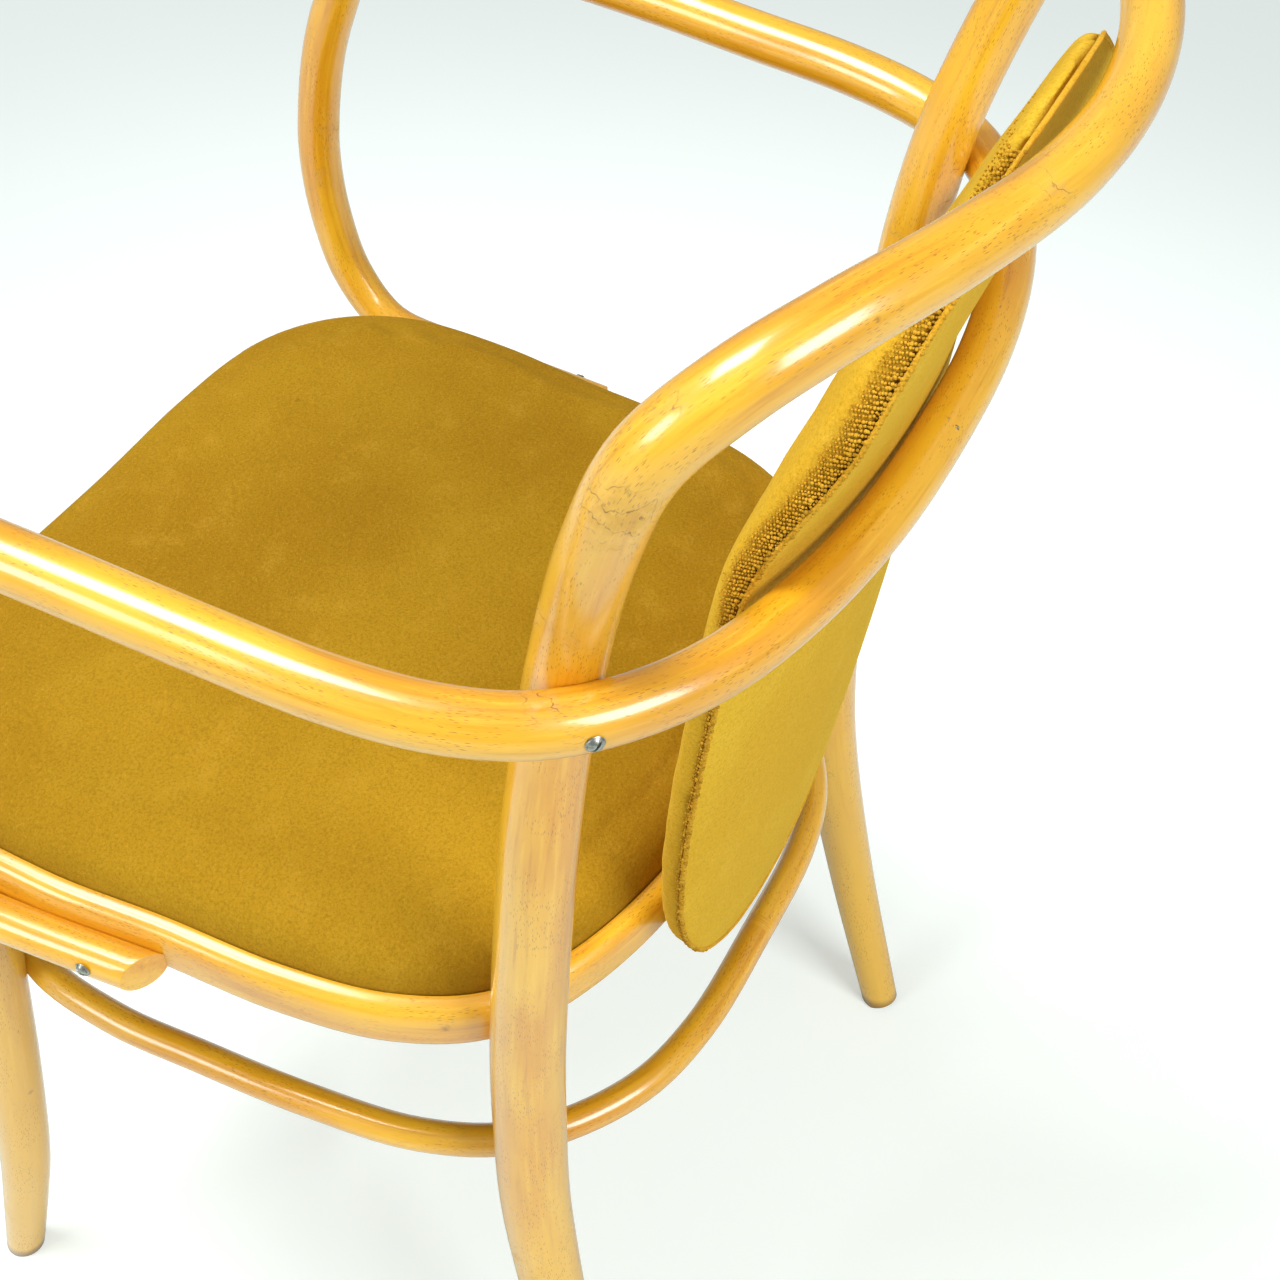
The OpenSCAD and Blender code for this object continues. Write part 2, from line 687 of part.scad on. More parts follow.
// The pad leans on the seat's rear rail and on the arm bow, and its top edge
// on the hoop: heights and places of the seam where it does
rail_point = on_seat_point([0, seat_back, ring_under - ring_t]);
arm_point = arm_bow_half[0];
function dome_at(z, sharp, power = dome_power) =
    dome(abs(z - pad_mid) / pad_half_h, sharp, power);
crest_d = bow_d * back_bow_shares[len(back_bow_shares) - 1][3];
rest_z = [rail_point[2], arm_point[2], pad_top];
rest_y = [rail_point[1] + rail_touch + pad_front_t * dome_at(rest_z[0], front_sharp, front_power),
    arm_point[1] - arm_point[3] / 2 - arm_touch - pad_rear_t * dome_at(rest_z[1], rear_sharp),
    bow_back - crest_d / 2 - crest_touch - seam_d * (1 + tuft_share) / 2];

// The seam runs straight past the rail and the arm bow, and above the arm bow
// it curves back to the hoop
pad_slope = (rest_y[1] - rest_y[0]) / (rest_z[1] - rest_z[0]);
pad_bend = (rest_y[2] - rest_y[1] - pad_slope * (rest_z[2] - rest_z[1]))
    / pow(rest_z[2] - rest_z[1], 2);
function pad_back(z) = rest_y[0] + pad_slope * (z - rest_z[0])
    + pad_bend * pow(max(0, z - rest_z[1]), 2);

// Over this height above the arm bow's middle the sides' forward curve eases off
wrap_fade = 100;
// Over this height below the pad's top the front padding thins
slim_fade = 150;
function ease(t) = let (u = min(1, max(0, t))) u * u * (3 - 2 * u);
function wrap_at(z) = pad_wrap
    + (pad_wrap_top - pad_wrap) * ease((z - rest_z[1]) / wrap_fade);
function slim_at(z) = 1
    - (1 - pad_front_top_t / pad_front_t) * ease(1 - (pad_top - z) / slim_fade);
function pad_point(x, z, t) =
    [x, pad_back(z) - wrap_at(z) * pow(x / pad_half_w, 2) - t, z];
function pad_ring(s, edge, t, slim = false) = [for (k = [0:pad_sides - 1])
    let (a = 360 * k / pad_sides, z = pad_mid + s * (pad_half_h - edge) * round_power(cos(a)))
    pad_point(s * (pad_half_w - edge) * round_power(sin(a)), z, t * (slim ? slim_at(z) : 1))];

// Faces of the pad's layers, from the middle out
function front_face(edge, t) = [for (s = rim_shares)
    pad_ring(s, edge, t * dome(s, front_sharp, front_power), slim = true)];
function rear_face(edge, t) = [for (s = rim_shares)
    pad_ring(s, edge, -t * dome(s, rear_sharp))];
function board_face(t) = [for (s = rim_shares) pad_ring(s, board_rim, t)];

module back_board() {
    color(pale_wood)
        difference() {
            skin(concat(board_face(back_board_t), reverse(board_face(0))), turn = rim_count);
            pad_screw_holes();
        }
}

module back_foam() {
    color(velvet)
        difference() {
            skin(concat(
                front_face(velvet_t, pad_front_t - velvet_t),
                [pad_ring(1, board_rim, 0)],
                reverse(board_face(back_board_t))), turn = rim_count);
            pad_screw_holes();
        }
}

module back_front_cover() {
    color(velvet)
        difference() {
            skin(concat(
                front_face(0, pad_front_t),
                reverse(front_face(velvet_t, pad_front_t - velvet_t))),
                turn = rim_count);
            pad_screw_holes();
        }
}

module back_rear_padding() {
    color(velvet)
        difference() {
            skin(concat(
                board_face(0),
                reverse(rear_face(velvet_t, pad_rear_t - velvet_t))),
                turn = rim_count - 1);
            pad_screw_holes();
        }
}

module back_rear_cover() {
    color(velvet)
        difference() {
            skin(concat(
                rear_face(velvet_t, pad_rear_t - velvet_t),
                reverse(rear_face(0, pad_rear_t))), turn = rim_count - 1);
            pad_screw_holes();
        }
}

// Tufted ridge of pile along the seam
module back_seam() {
    n = 2 * tuft_count;
    line = [for (k = [0:n - 1]) let (a = 360 * k / n)
        concat(pad_point((pad_half_w + seam_d / 2) * round_power(sin(a)),
            pad_mid + (pad_half_h + seam_d / 2) * round_power(cos(a)), 0),
            [seam_d * (1 + tuft_share * cos(180 * k))])];
    color(velvet)
        skin(rod_rings(line, [0, 1, 0], true, tuft_sides), closed = true);
}

// The back pad is held by a screw through the seat's rear rail and by a sunk
// one that goes down aslant through the arm bow
pad_out = [0, 1, 0];
rail_screw_at = on_seat_point([0, seat_back - ring_w, ring_screw_h]);
rail_screw_l = rest_y[0] - rail_screw_at[1];
pin_slope = 50;
pin_sink = 1.5;
pin_dir = [0, -cos(pin_slope), -sin(pin_slope)];
pin_at = xyz(arm_point) - (arm_point[3] / 2 - pin_sink) * pin_dir;
pin_l = arm_point[3] + pad_rear_t;

module pad_screw_holes() {
    hole(rail_screw_at, pad_out, rail_screw_l);
    hole(pin_at, pin_dir, pin_l, small_head_d);
}

module back_pad_screws() {
    color(steel) {
        slotted_screw(rail_screw_at, pad_out, rail_screw_l);
        slotted_screw(pin_at, pin_dir, pin_l, small_head_d);
    }
}

in_frame() back_bow();
in_frame() arm_bow();
in_frame() seat_ring();
in_frame() leg_ring();
in_frame() front_leg();  // front_leg_left
in_frame() mirror([1, 0, 0]) front_leg();  // front_leg_right
in_frame() seat_board();
in_frame() seat_foam();
in_frame() seat_cover();
in_frame() seat_base_cloth();
in_frame() back_board();
in_frame() back_foam();
in_frame() back_front_cover();
in_frame() back_rear_padding();
in_frame() back_rear_cover();
in_frame() back_seam();
in_frame() arm_upright_screws();
in_frame() arm_front_screws();
in_frame() rear_leg_screws();
in_frame() leg_ring_screws();
in_frame() seat_board_screws();
in_frame() back_pad_screws();
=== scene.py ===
# %% [markdown]
# # A bentwood armchair
# Two long beech rods, steamed and bent, make almost the whole chair. One is both
# rear legs and the hoop over the back, the other is both armrests. A bent ring
# carries the velvet seat, a thinner ring ties the legs, and a long velvet pad
# hangs in the back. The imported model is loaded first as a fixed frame, and its
# box is kept, so that the finished chair can be compared with it at the end.

# %% Load the frame
import math

import bmesh
import bpy
import numpy as np
from mathutils import Matrix, Vector


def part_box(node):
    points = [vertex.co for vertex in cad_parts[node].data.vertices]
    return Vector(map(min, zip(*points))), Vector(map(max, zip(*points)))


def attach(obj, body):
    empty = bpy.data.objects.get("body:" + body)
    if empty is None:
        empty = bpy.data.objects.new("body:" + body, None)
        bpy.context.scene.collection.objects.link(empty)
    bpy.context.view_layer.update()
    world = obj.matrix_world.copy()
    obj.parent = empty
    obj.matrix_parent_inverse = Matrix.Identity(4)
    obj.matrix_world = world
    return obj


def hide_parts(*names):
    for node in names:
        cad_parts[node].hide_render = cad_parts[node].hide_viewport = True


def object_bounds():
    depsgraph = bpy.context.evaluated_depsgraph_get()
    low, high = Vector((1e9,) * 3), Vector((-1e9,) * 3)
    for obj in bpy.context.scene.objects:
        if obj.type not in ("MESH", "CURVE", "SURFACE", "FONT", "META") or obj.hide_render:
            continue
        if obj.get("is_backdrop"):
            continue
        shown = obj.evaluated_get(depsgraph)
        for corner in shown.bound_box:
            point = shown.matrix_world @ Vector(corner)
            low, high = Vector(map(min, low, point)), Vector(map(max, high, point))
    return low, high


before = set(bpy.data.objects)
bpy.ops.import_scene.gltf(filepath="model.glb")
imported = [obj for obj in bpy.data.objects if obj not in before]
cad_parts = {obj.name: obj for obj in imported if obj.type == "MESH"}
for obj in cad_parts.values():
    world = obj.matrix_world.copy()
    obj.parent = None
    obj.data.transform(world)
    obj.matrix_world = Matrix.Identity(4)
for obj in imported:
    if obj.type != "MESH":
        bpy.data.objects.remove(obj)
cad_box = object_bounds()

MM = 0.001
scene = bpy.context.scene
scene.view_settings.view_transform = "Standard"
print("frame:", len(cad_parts), "nodes")

# %% [markdown]
# ## The camera
# The photograph looks down on the chair from behind its left shoulder. The frame
# is part of a larger picture, so the lens is shifted a little.

# %% Camera
CAMERA_AT = (0.7258, 0.4389, 1.3181)
AZIMUTH, ELEVATION, ROLL = 113.86, 41.05, 2.12
LENS_PX, IMAGE_PX = 2145.55, 1280
CENTRE_PX = (66.7, -161.1)
SENSOR_MM, CLIP = 36, (0.05, 60)

a, e, r = (math.radians(v) for v in (AZIMUTH, ELEVATION, ROLL))
back = Vector((math.sin(a) * math.cos(e), -math.cos(a) * math.cos(e), math.sin(e)))
right = Vector((math.cos(a), math.sin(a), 0))
up = back.cross(right)
right, up = (right * math.cos(r) + up * math.sin(r), up * math.cos(r) - right * math.sin(r))

camera_data = bpy.data.cameras.new("camera")
camera = bpy.data.objects.new("camera", camera_data)
scene.collection.objects.link(camera)
scene.camera = camera
turn = Matrix((right, up, back)).transposed().to_4x4()
camera.matrix_world = Matrix.Translation(CAMERA_AT) @ turn
camera_data.sensor_width = SENSOR_MM
camera_data.lens = SENSOR_MM * LENS_PX / IMAGE_PX
camera_data.shift_x = -CENTRE_PX[0] / IMAGE_PX
camera_data.shift_y = CENTRE_PX[1] / IMAGE_PX
camera_data.clip_start, camera_data.clip_end = CLIP
print("camera: lens %.1f mm" % camera_data.lens)

# %% [markdown]
# ## Helpers for meshes
# Points and faces become an object, with everything in metres. The finished pieces
# stay at the origin, so a piece's place is in its mesh.

# %% Helpers for meshes
def mesh_piece(name, points, faces=(), edges=()):
    """An object from points in metres."""
    mesh = bpy.data.meshes.new(name)
    mesh.from_pydata([tuple(p) for p in points], edges, faces)
    mesh.update()
    piece = bpy.data.objects.new(name, mesh)
    scene.collection.objects.link(piece)
    return piece


def with_bmesh(piece, work):
    """Runs work on the piece's bmesh and writes it back."""
    bm = bmesh.new()
    bm.from_mesh(piece.data)
    work(bm)
    bm.to_mesh(piece.data)
    bm.free()
    piece.data.update()


def face_out(piece):
    with_bmesh(piece, lambda bm: bmesh.ops.recalc_face_normals(bm, faces=bm.faces))


def shade_smooth(piece):
    piece.data.polygons.foreach_set("use_smooth", [True] * len(piece.data.polygons))


def edges_sharp(piece, degrees=40):
    """Keeps cut edges crisp while the round sides stay smooth."""
    piece.data.set_sharp_from_angle(angle=math.radians(degrees))


def dress(piece, material):
    """The material becomes the only one of the piece."""
    piece.data.materials.clear()
    piece.data.materials.append(material)


def store(piece, name, values):
    """Keeps a number or a vector for each point as an attribute."""
    values = np.asarray(values, np.float32)
    kind, key = ("FLOAT_VECTOR", "vector") if values.ndim == 2 else ("FLOAT", "value")
    piece.data.attributes.new(name, kind, "POINT").data.foreach_set(key, values.ravel())


def baked(piece):
    """Turns a piece with modifiers into a plain mesh."""
    evaluated = piece.evaluated_get(bpy.context.evaluated_depsgraph_get())
    mesh = bpy.data.meshes.new_from_object(evaluated)
    piece.modifiers.clear()
    old, piece.data = piece.data, mesh
    bpy.data.meshes.remove(old)
    mesh.name = piece.name
    return piece


# %% [markdown]
# ## Helpers for nodes
# Both a material and a geometry tree are nodes with links. `Nodes` adds them to one
# tree, and each of a node's inputs gets either a value or the socket that feeds it.

# %% Helpers for nodes
class Nodes:
    """Adds nodes to one tree."""

    def __init__(self, tree):
        self.tree = tree

    def feed(self, node, inputs):
        for key, value in inputs.items():
            if isinstance(value, bpy.types.NodeSocket):
                self.tree.links.new(value, node.inputs[key])
            else:
                node.inputs[key].default_value = value

    def add(self, kind, inputs=None, **settings):
        """A new node's outputs, by name or number."""
        made = self.tree.nodes.new(kind)
        for name, value in settings.items():
            setattr(made, name, value)
        self.feed(made, inputs or {})
        return made.outputs

    def math(self, first, second, operation="MULTIPLY"):
        return self.add("ShaderNodeMath", {0: first, 1: second}, operation=operation)[0]

    def between(self, value, low, high, out_low=0.0, out_high=1.0):
        """Clamped, smooth reading of a value between two levels."""
        return self.add("ShaderNodeMapRange", {
            "Value": value, "From Min": low, "From Max": high, "To Min": out_low,
            "To Max": out_high}, interpolation_type="SMOOTHSTEP")[0]

    def layers(self, colour, *layers):
        """A colour with [share, colour] layers over it, the last on top."""
        for share, over in layers:
            colour = self.add("ShaderNodeMix", {0: share, 6: colour, 7: over},
                              data_type="RGBA")[2]
        return colour

    def stretched(self, place, scale, shift=(0, 0, 0)):
        """A pattern's place, drawn out by a scale for each direction."""
        return self.add("ShaderNodeMapping", {"Vector": place, "Scale": scale,
                                              "Location": shift})[0]

    def noise(self, place, scale, detail=3, rough=0.5, shift=(0, 0, 0)):
        scale = (scale,) * 3 if np.isscalar(scale) else scale
        return self.add("ShaderNodeTexNoise", {
            "Vector": self.stretched(place, scale, shift), "Scale": 1.0, "Detail": detail,
            "Roughness": rough})[0]

    def wave(self, place, scale, direction):
        return self.add("ShaderNodeTexWave", {"Vector": place, "Scale": scale},
                        bands_direction=direction)["Fac"]

    def bump(self, height, strength, distance, **under):
        return self.add("ShaderNodeBump", {"Height": height, "Strength": strength,
                                           "Distance": distance, **under})[0]

    def spots(self, place, spots, ragged=0.35):
        """1 close to any of the spots [x, y, z, radius] in metres, with ragged borders."""
        fray = self.noise(place, 420)
        total = 0.0
        for x, y, z, radius in spots:
            far = self.add("ShaderNodeVectorMath", {0: place, 1: (x, y, z)},
                           operation="DISTANCE")["Value"]
            far = self.math(far, self.math(fray, 2 * ragged * radius), "ADD")
            spot = self.between(far, radius * (1 + ragged), radius * 0.5)
            total = self.math(total, spot, "MAXIMUM")
        return total

    def named(self, name, kind="FLOAT"):
        """Reads an attribute in a geometry tree."""
        return self.add("GeometryNodeInputNamedAttribute", {"Name": name},
                        data_type=kind)["Attribute"]

    def stored(self, geometry, name, kind, value):
        """Writes an attribute in a geometry tree."""
        return self.add("GeometryNodeStoreNamedAttribute", {
            "Geometry": geometry, "Name": name, "Value": value}, data_type=kind,
            domain="POINT")[0]

    def finish(self, geometry, material):
        """The tree's end: a real mesh in its material."""
        geometry = self.add("GeometryNodeRealizeInstances", {"Geometry": geometry})[0]
        geometry = self.add("GeometryNodeSetMaterial", {"Geometry": geometry,
                                                        "Material": material})[0]
        self.add("NodeGroupOutput", {"Geometry": geometry})

    def plant(self, given, turn, size):
        """The tree's end: a copy of the object `Thing` on every point, aimed along the
        point's attribute `aim`, then turned and sized."""
        shape = self.add("GeometryNodeObjectInfo", {"Object": given["Thing"]})["Geometry"]
        aim = self.add("FunctionNodeAlignRotationToVector",
                       {"Vector": self.named("aim", "FLOAT_VECTOR")}, axis="Z")[0]
        turn = self.add("FunctionNodeRotateRotation", {"Rotation": aim, "Rotate By": turn},
                        rotation_space="LOCAL")[0]
        self.finish(self.add("GeometryNodeInstanceOnPoints", {
            "Points": given["Geometry"], "Instance": shape, "Rotation": turn,
            "Scale": size})[0], given["Finish"])


def new_material(name):
    """A material, its nodes, its shader and each point's place in the room."""
    material = bpy.data.materials.new(name)
    material.use_nodes = True
    t = Nodes(material.node_tree)
    t.tree.nodes.clear()
    shader = t.tree.nodes.new("ShaderNodeBsdfPrincipled")
    t.add("ShaderNodeOutputMaterial", {"Surface": shader.outputs[0]})
    return material, t, shader, t.add("ShaderNodeTexCoord")["Object"]


def new_tree(name, **kinds):
    """The nodes of a geometry tree and its inputs, a geometry and those of kinds."""
    tree = bpy.data.node_groups.new(name, "GeometryNodeTree")
    for key, kind in {"Geometry": "Geometry", **kinds}.items():
        tree.interface.new_socket(key, in_out="INPUT", socket_type="NodeSocket" + kind)
    tree.interface.new_socket("Geometry", in_out="OUTPUT", socket_type="NodeSocketGeometry")
    t = Nodes(tree)
    return t, t.add("NodeGroupInput")


def grow(piece, tree, **inputs):
    """Runs a geometry tree on a piece. An input is set by its socket's identifier."""
    modifier = piece.modifiers.new(tree.name, "NODES")
    modifier.node_group = tree
    for socket in tree.interface.items_tree:
        if socket.in_out == "INPUT" and socket.name in inputs:
            modifier[socket.identifier] = inputs[socket.name]
    return baked(piece)


def srgb(red, green, blue):
    """A given colour, as the light values that a shader wants."""
    def level(v):
        v /= 255
        return v / 12.92 if v <= 0.04045 else ((v + 0.055) / 1.055) ** 2.4
    return (level(red), level(green), level(blue), 1)


# %% [markdown]
# ## Lacquered beech
# Beech shows short dark flecks along the grain and soft streaks. A bent rod keeps
# its grain along the bend, so the pattern isn't read from the place in the room but
# from where each bit of wood lay in the straight rod, before it was bent. Each
# wooden piece carries that place as the attribute `straight`: first the length
# along the rod, then across and up.

# %% Beech material
HONEY, DEEP = srgb(238, 183, 38), srgb(214, 143, 12)
BRIGHT, AMBER, PALE = srgb(250, 204, 74), srgb(182, 110, 12), srgb(230, 182, 66)
FLECK, RUBBED, DARK_BROWN = srgb(140, 82, 14), srgb(186, 148, 92), srgb(92, 56, 22)
COAT_ROUGH, COAT_IOR, RUBBED_COAT = 0.17, 1.58, 0.25
PALE_FROM, PALE_TO = 0.44, 0.12
FOOT_DARK_FROM, FOOT_DARK_TO = 0.011, 0.002


def beech(name, honey, deep, pale_low=0.0, dents=(), scuffs=()):
    """Lacquered beech. pale_low is how much paler the wood gets towards the floor; dents
    are small dark spots and scuffs larger dull ones, as [x, y, z, radius] in metres."""
    material, t, shader, room = new_material(name)
    place = t.add("ShaderNodeAttribute", attribute_name="straight")["Vector"]
    height = t.add("ShaderNodeSeparateXYZ", {0: room})["Z"]
    cloud = t.noise(place, (9, 30, 30))
    streak = t.noise(place, (15, 300, 300), 5, 0.62)
    colour = t.layers(honey, (t.between(cloud, 0.34, 0.68, 0, 0.75), deep),
                      (t.between(streak, 0.5, 0.72, 0, 0.42), BRIGHT),
                      (t.between(streak, 0.48, 0.28, 0, 0.4), AMBER))
    if pale_low:
        colour = t.layers(colour, (t.between(height, PALE_FROM, PALE_TO, 0, pale_low), PALE))
    # short flecks along the grain, in crowds
    cells = t.add("ShaderNodeTexVoronoi", {"Vector": t.stretched(place, (210, 1500, 1500)),
                                           "Scale": 1.0, "Randomness": 1.0})["Distance"]
    crowd = t.noise(place, (24, 70, 70), shift=(3, 1, 2))
    fleck = t.math(t.between(cells, 0.3, 0.14), t.between(crowd, 0.38, 0.58))
    # dull rubbed places, thin scratches, dents, and wood that darkens towards the bottom of the
    # feet, in their last centimetre above the floor
    rub = t.between(t.noise(room, 13, 6, 0.72, (5, 2, 9)), 0.6, 0.72)
    if scuffs:
        worn = t.between(t.noise(room, 160, 5, 0.7), 0.36, 0.62)
        rub = t.math(rub, t.math(t.spots(room, scuffs), worn), "MAXIMUM")
    line = t.add("ShaderNodeTexWave", {"Vector": t.stretched(place, (34, 60, 75)),
                                       "Scale": 1.0, "Distortion": 16.0, "Detail": 3.0})["Fac"]
    scratch = t.math(t.between(line, 0.97, 0.995), rub)
    dent = t.spots(room, dents, ragged=0.8) if dents else 0.0
    dark = t.math(t.math(scratch, 0.7), t.math(dent, 0.6), "MAXIMUM")
    foot_dark = t.between(height, FOOT_DARK_FROM, FOOT_DARK_TO, 0, 0.75)
    colour = t.layers(colour, (t.math(fleck, 0.75), FLECK), (t.math(rub, 0.38), RUBBED),
                      (dark, DARK_BROWN), (foot_dark, DARK_BROWN))
    grain = t.math(t.math(streak, 0.4), t.math(fleck, dark, "MAXIMUM"), "SUBTRACT")
    t.feed(shader, {
        "Base Color": colour, "Coat Roughness": COAT_ROUGH, "Coat IOR": COAT_IOR,
        "Roughness": t.math(t.between(streak, 0.2, 0.8, 0.3, 0.42), t.math(rub, 0.25), "ADD"),
        "Coat Weight": t.between(rub, 0, 1, 1, RUBBED_COAT),
        "Normal": t.bump(grain, 0.2, 0.0006)})
    return material


BOW_DENTS = [(0.1721, 0.2548, 0.8864, 0.0019), (0.1089, 0.2813, 0.8886, 0.0014),
             (0.0794, 0.2851, 0.8947, 0.0016), (0.2228, 0.2002, 0.8668, 0.0013)]
BOW_SCUFFS = [(0.237, 0.1907, 0.8212, 0.03), (0.0794, 0.2851, 0.8947, 0.014),
              (0.2228, 0.2002, 0.8668, 0.012)]
ARM_DENTS = [(-0.0015, 0.2351, 0.7087, 0.0016), (0.1663, 0.2205, 0.7042, 0.0014),
             (-0.0662, 0.2346, 0.7086, 0.0018), (0.2152, 0.0844, 0.4254, 0.0042)]
ARM_SCUFFS = [(0.237, 0.1596, 0.7158, 0.016)]
LEG_DENTS = [(0.23, -0.2052, 0.1929, 0.0026)]
wood_bow = beech("beech_bow", HONEY, DEEP, 0.8, BOW_DENTS, BOW_SCUFFS)
wood_arm = beech("beech_arm", HONEY, DEEP, dents=ARM_DENTS, scuffs=ARM_SCUFFS)
wood_leg = beech("beech_leg", srgb(220, 168, 60), srgb(202, 142, 40), 0.7, LEG_DENTS)
print("materials:", [m.name for m in (wood_bow, wood_arm, wood_leg)])

# %% [markdown]
# ## Bending a rod
# The real rods are turned round, steamed and clamped into an iron mould. Here a
# rod's path is a smooth curve through a few points, each with its own thickness,
# because the rods are thinner at the ends and at the crest. The points are shares
# of the chair's main sizes, as in the drawing of the part, in millimetres.

# %% The chair's main sizes
SEAT_H, SEAT_HALF_W, SEAT_BACK, SEAT_FRONT, SEAT_TILT = 445, 247, 245, 204, 2.8
RING_W, RING_T, RING_LIP, RABBET = 38, 29, 11, 9
ARM_H, ARM_END_H, ARM_HALF_W, ARM_BACK, ARM_FRONT, ARM_D = 722, 423, 270, 322, 197, 28
BOW_H, BOW_HALF_W, BOW_BACK, BOW_D = 884, 222, 378, 38
BRACE_H, BRACE_HALF_W, BRACE_BACK, BRACE_FRONT, BRACE_D = 288, 213, 250, 190, 18
FOOT_HALF_W, FOOT_FRONT, LEG_D = 236, 157, 36
FEET_CUT = (0, 0, 0.4)


def smooth(points, steps, closed=False):
    """A smooth curve through all points, with steps pieces between each two."""
    p = np.array(points, float)
    if closed:
        before, after, beyond = (np.roll(p, s, axis=0) for s in (1, -1, -2))
        start = p
    else:
        long = np.vstack([2 * p[0] - p[1], p, 2 * p[-1] - p[-2]])
        before, start, after, beyond = (long[i:len(long) - 3 + i] for i in range(4))
    t = np.arange(steps)[:, None] / steps
    rows = [0.5 * (2 * b + (c - a) * t + (2 * a - 5 * b + 4 * c - d) * t**2
                   + (3 * b - a - 3 * c + d) * t**3)
            for a, b, c, d in zip(before, start, after, beyond)]
    return np.vstack(rows + ([] if closed else [p[-1:]]))


def reach(share, behind, before):
    return share * (behind if share > 0 else before)


def mirrored(points):
    return [[-p[0]] + list(p[1:]) for p in points]


def run_length(line):
    """How far along a line each of its points lies."""
    steps = np.linalg.norm(np.diff(line, axis=0), axis=1)
    return np.concatenate([[0], np.cumsum(steps)])


# %% [markdown]
# ### The tree that makes a round rod
# The path goes in as a line of points with the attribute `thickness`, and a round
# skin with closed ends comes out. A circle is carried along the path, and the
# circle's own points tell how far across each bit of wood lies.

# %% Geometry tree of a rod
rod, given = new_tree("bent_rod", Sides="Int", Wood="Material")
half = rod.math(rod.named("thickness"), 0.5)
path = rod.add("GeometryNodeMeshToCurve", {"Mesh": given["Geometry"]})[0]
along = rod.add("GeometryNodeSplineParameter")["Length"]
path = rod.stored(path, "along", "FLOAT", along)
circle = rod.add("GeometryNodeCurvePrimitiveCircle", {"Resolution": given["Sides"],
                                                      "Radius": 1.0})[0]
circle = rod.stored(circle, "across", "FLOAT_VECTOR", rod.add("GeometryNodeInputPosition")[0])
skin = rod.add("GeometryNodeCurveToMesh", {"Curve": path, "Profile Curve": circle,
                                           "Scale": half, "Fill Caps": True})[0]
ring = rod.add("ShaderNodeSeparateXYZ", {0: rod.named("across", "FLOAT_VECTOR")})
place = rod.add("ShaderNodeCombineXYZ", {
    "X": rod.named("along"), "Y": rod.math(ring["X"], half), "Z": rod.math(ring["Y"], half)})[0]
skin = rod.stored(skin, "straight", "FLOAT_VECTOR", place)
for name in ("along", "across", "thickness"):
    skin = rod.add("GeometryNodeRemoveAttribute", {"Geometry": skin, "Name": name})[0]
rod.finish(rod.add("GeometryNodeSetShadeSmooth", {"Geometry": skin})[0], given["Wood"])


def bend_rod(name, path_mm, sides, wood, closed=False):
    """A round rod along a path of [x, y, z, thickness] in millimetres, as a plain mesh."""
    path_m = np.array(path_mm) * MM
    count = len(path_m)
    edges = [(i, i + 1) for i in range(count - 1)] + ([(count - 1, 0)] if closed else [])
    piece = mesh_piece(name, path_m[:, :3], edges=edges)
    store(piece, "thickness", path_m[:, 3])
    grow(piece, rod.tree, Sides=sides, Wood=wood)
    face_out(piece)
    print("%s: %d faces" % (name, len(piece.data.polygons)))
    return piece


def cut_flat(piece, at, normal, soften, far=None):
    """Saws off what lies beyond a plane, closes the cut and softens its edge."""
    def work(bm):
        inside = [v for v in bm.verts if far is None or far(v.co)]
        parts = set(inside) | {e for v in inside for e in v.link_edges}
        parts |= {f for v in inside for f in v.link_faces}
        cut = bmesh.ops.bisect_plane(bm, geom=list(parts), plane_co=Vector(at) * MM,
                                     plane_no=Vector(normal), clear_outer=True)
        rim = [e for e in cut["geom_cut"] if isinstance(e, bmesh.types.BMEdge)]
        bmesh.ops.contextual_create(bm, geom=rim)
        rim = [e for e in rim if e.is_valid]
        bmesh.ops.bevel(bm, geom=rim, offset=soften * MM, segments=3, profile=0.5,
                        affect="EDGES", clamp_overlap=True)
        bmesh.ops.recalc_face_normals(bm, faces=bm.faces)
    with_bmesh(piece, work)
    shade_smooth(piece)


# %% [markdown]
# ## The rear legs and the hoop
# One rod starts at the left foot, rises as a rear leg, swings over the back and
# comes down as the right leg. It is stoutest under the seat and thinnest over
# the crest. The feet are sawn level and their edges broken.

# %% Back bow
BACK_BOW_SHARES = [
    (0.87, 0.733, 0, 0.66), (0.923, 0.632, 0.136, 0.82), (0.905, 0.569, 0.283, 0.97),
    (0.897, 0.557, 0.396, 1), (0.913, 0.568, 0.501, 0.98), (0.941, 0.598, 0.64, 0.935),
    (0.932, 0.619, 0.735, 0.895), (0.94, 0.652, 0.82, 0.845), (0.985, 0.7, 0.894, 0.82),
    (1, 0.75, 0.948, 0.8), (0.925, 0.815, 0.981, 0.78), (0.766, 0.877, 0.9955, 0.75),
    (0.54, 0.937, 1, 0.72), (0.27, 0.984, 1, 0.69), (0, 1, 1, 0.67)]
half_bow = [[x * BOW_HALF_W, y * BOW_BACK, z * BOW_H, d * BOW_D]
            for x, y, z, d in BACK_BOW_SHARES]
shift_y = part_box("back_bow")[1].y / MM - half_bow[-1][1] - half_bow[-1][3] / 2


def placed(path):
    """Moves a path so that the chair's depth is even about the middle of the frame."""
    path = np.array(path, float)
    path[:, 1] += shift_y
    return path


bow_path = smooth(half_bow + mirrored(half_bow[-2::-1]), 8)
back_bow = bend_rod("bent_back_bow", placed(bow_path), 40, wood_bow)
cut_flat(back_bow, FEET_CUT, (0, 0, -1), soften=1.5)
edges_sharp(back_bow)
print("depth shift: %.1f mm" % shift_y)

# %% [markdown]
# ## The armrests
# The second rod starts on the side of the seat ring, runs forward, rises, turns
# back as an armrest and passes outside the uprights behind the back pad. Its ends
# are cut aslant beside the seat ring.

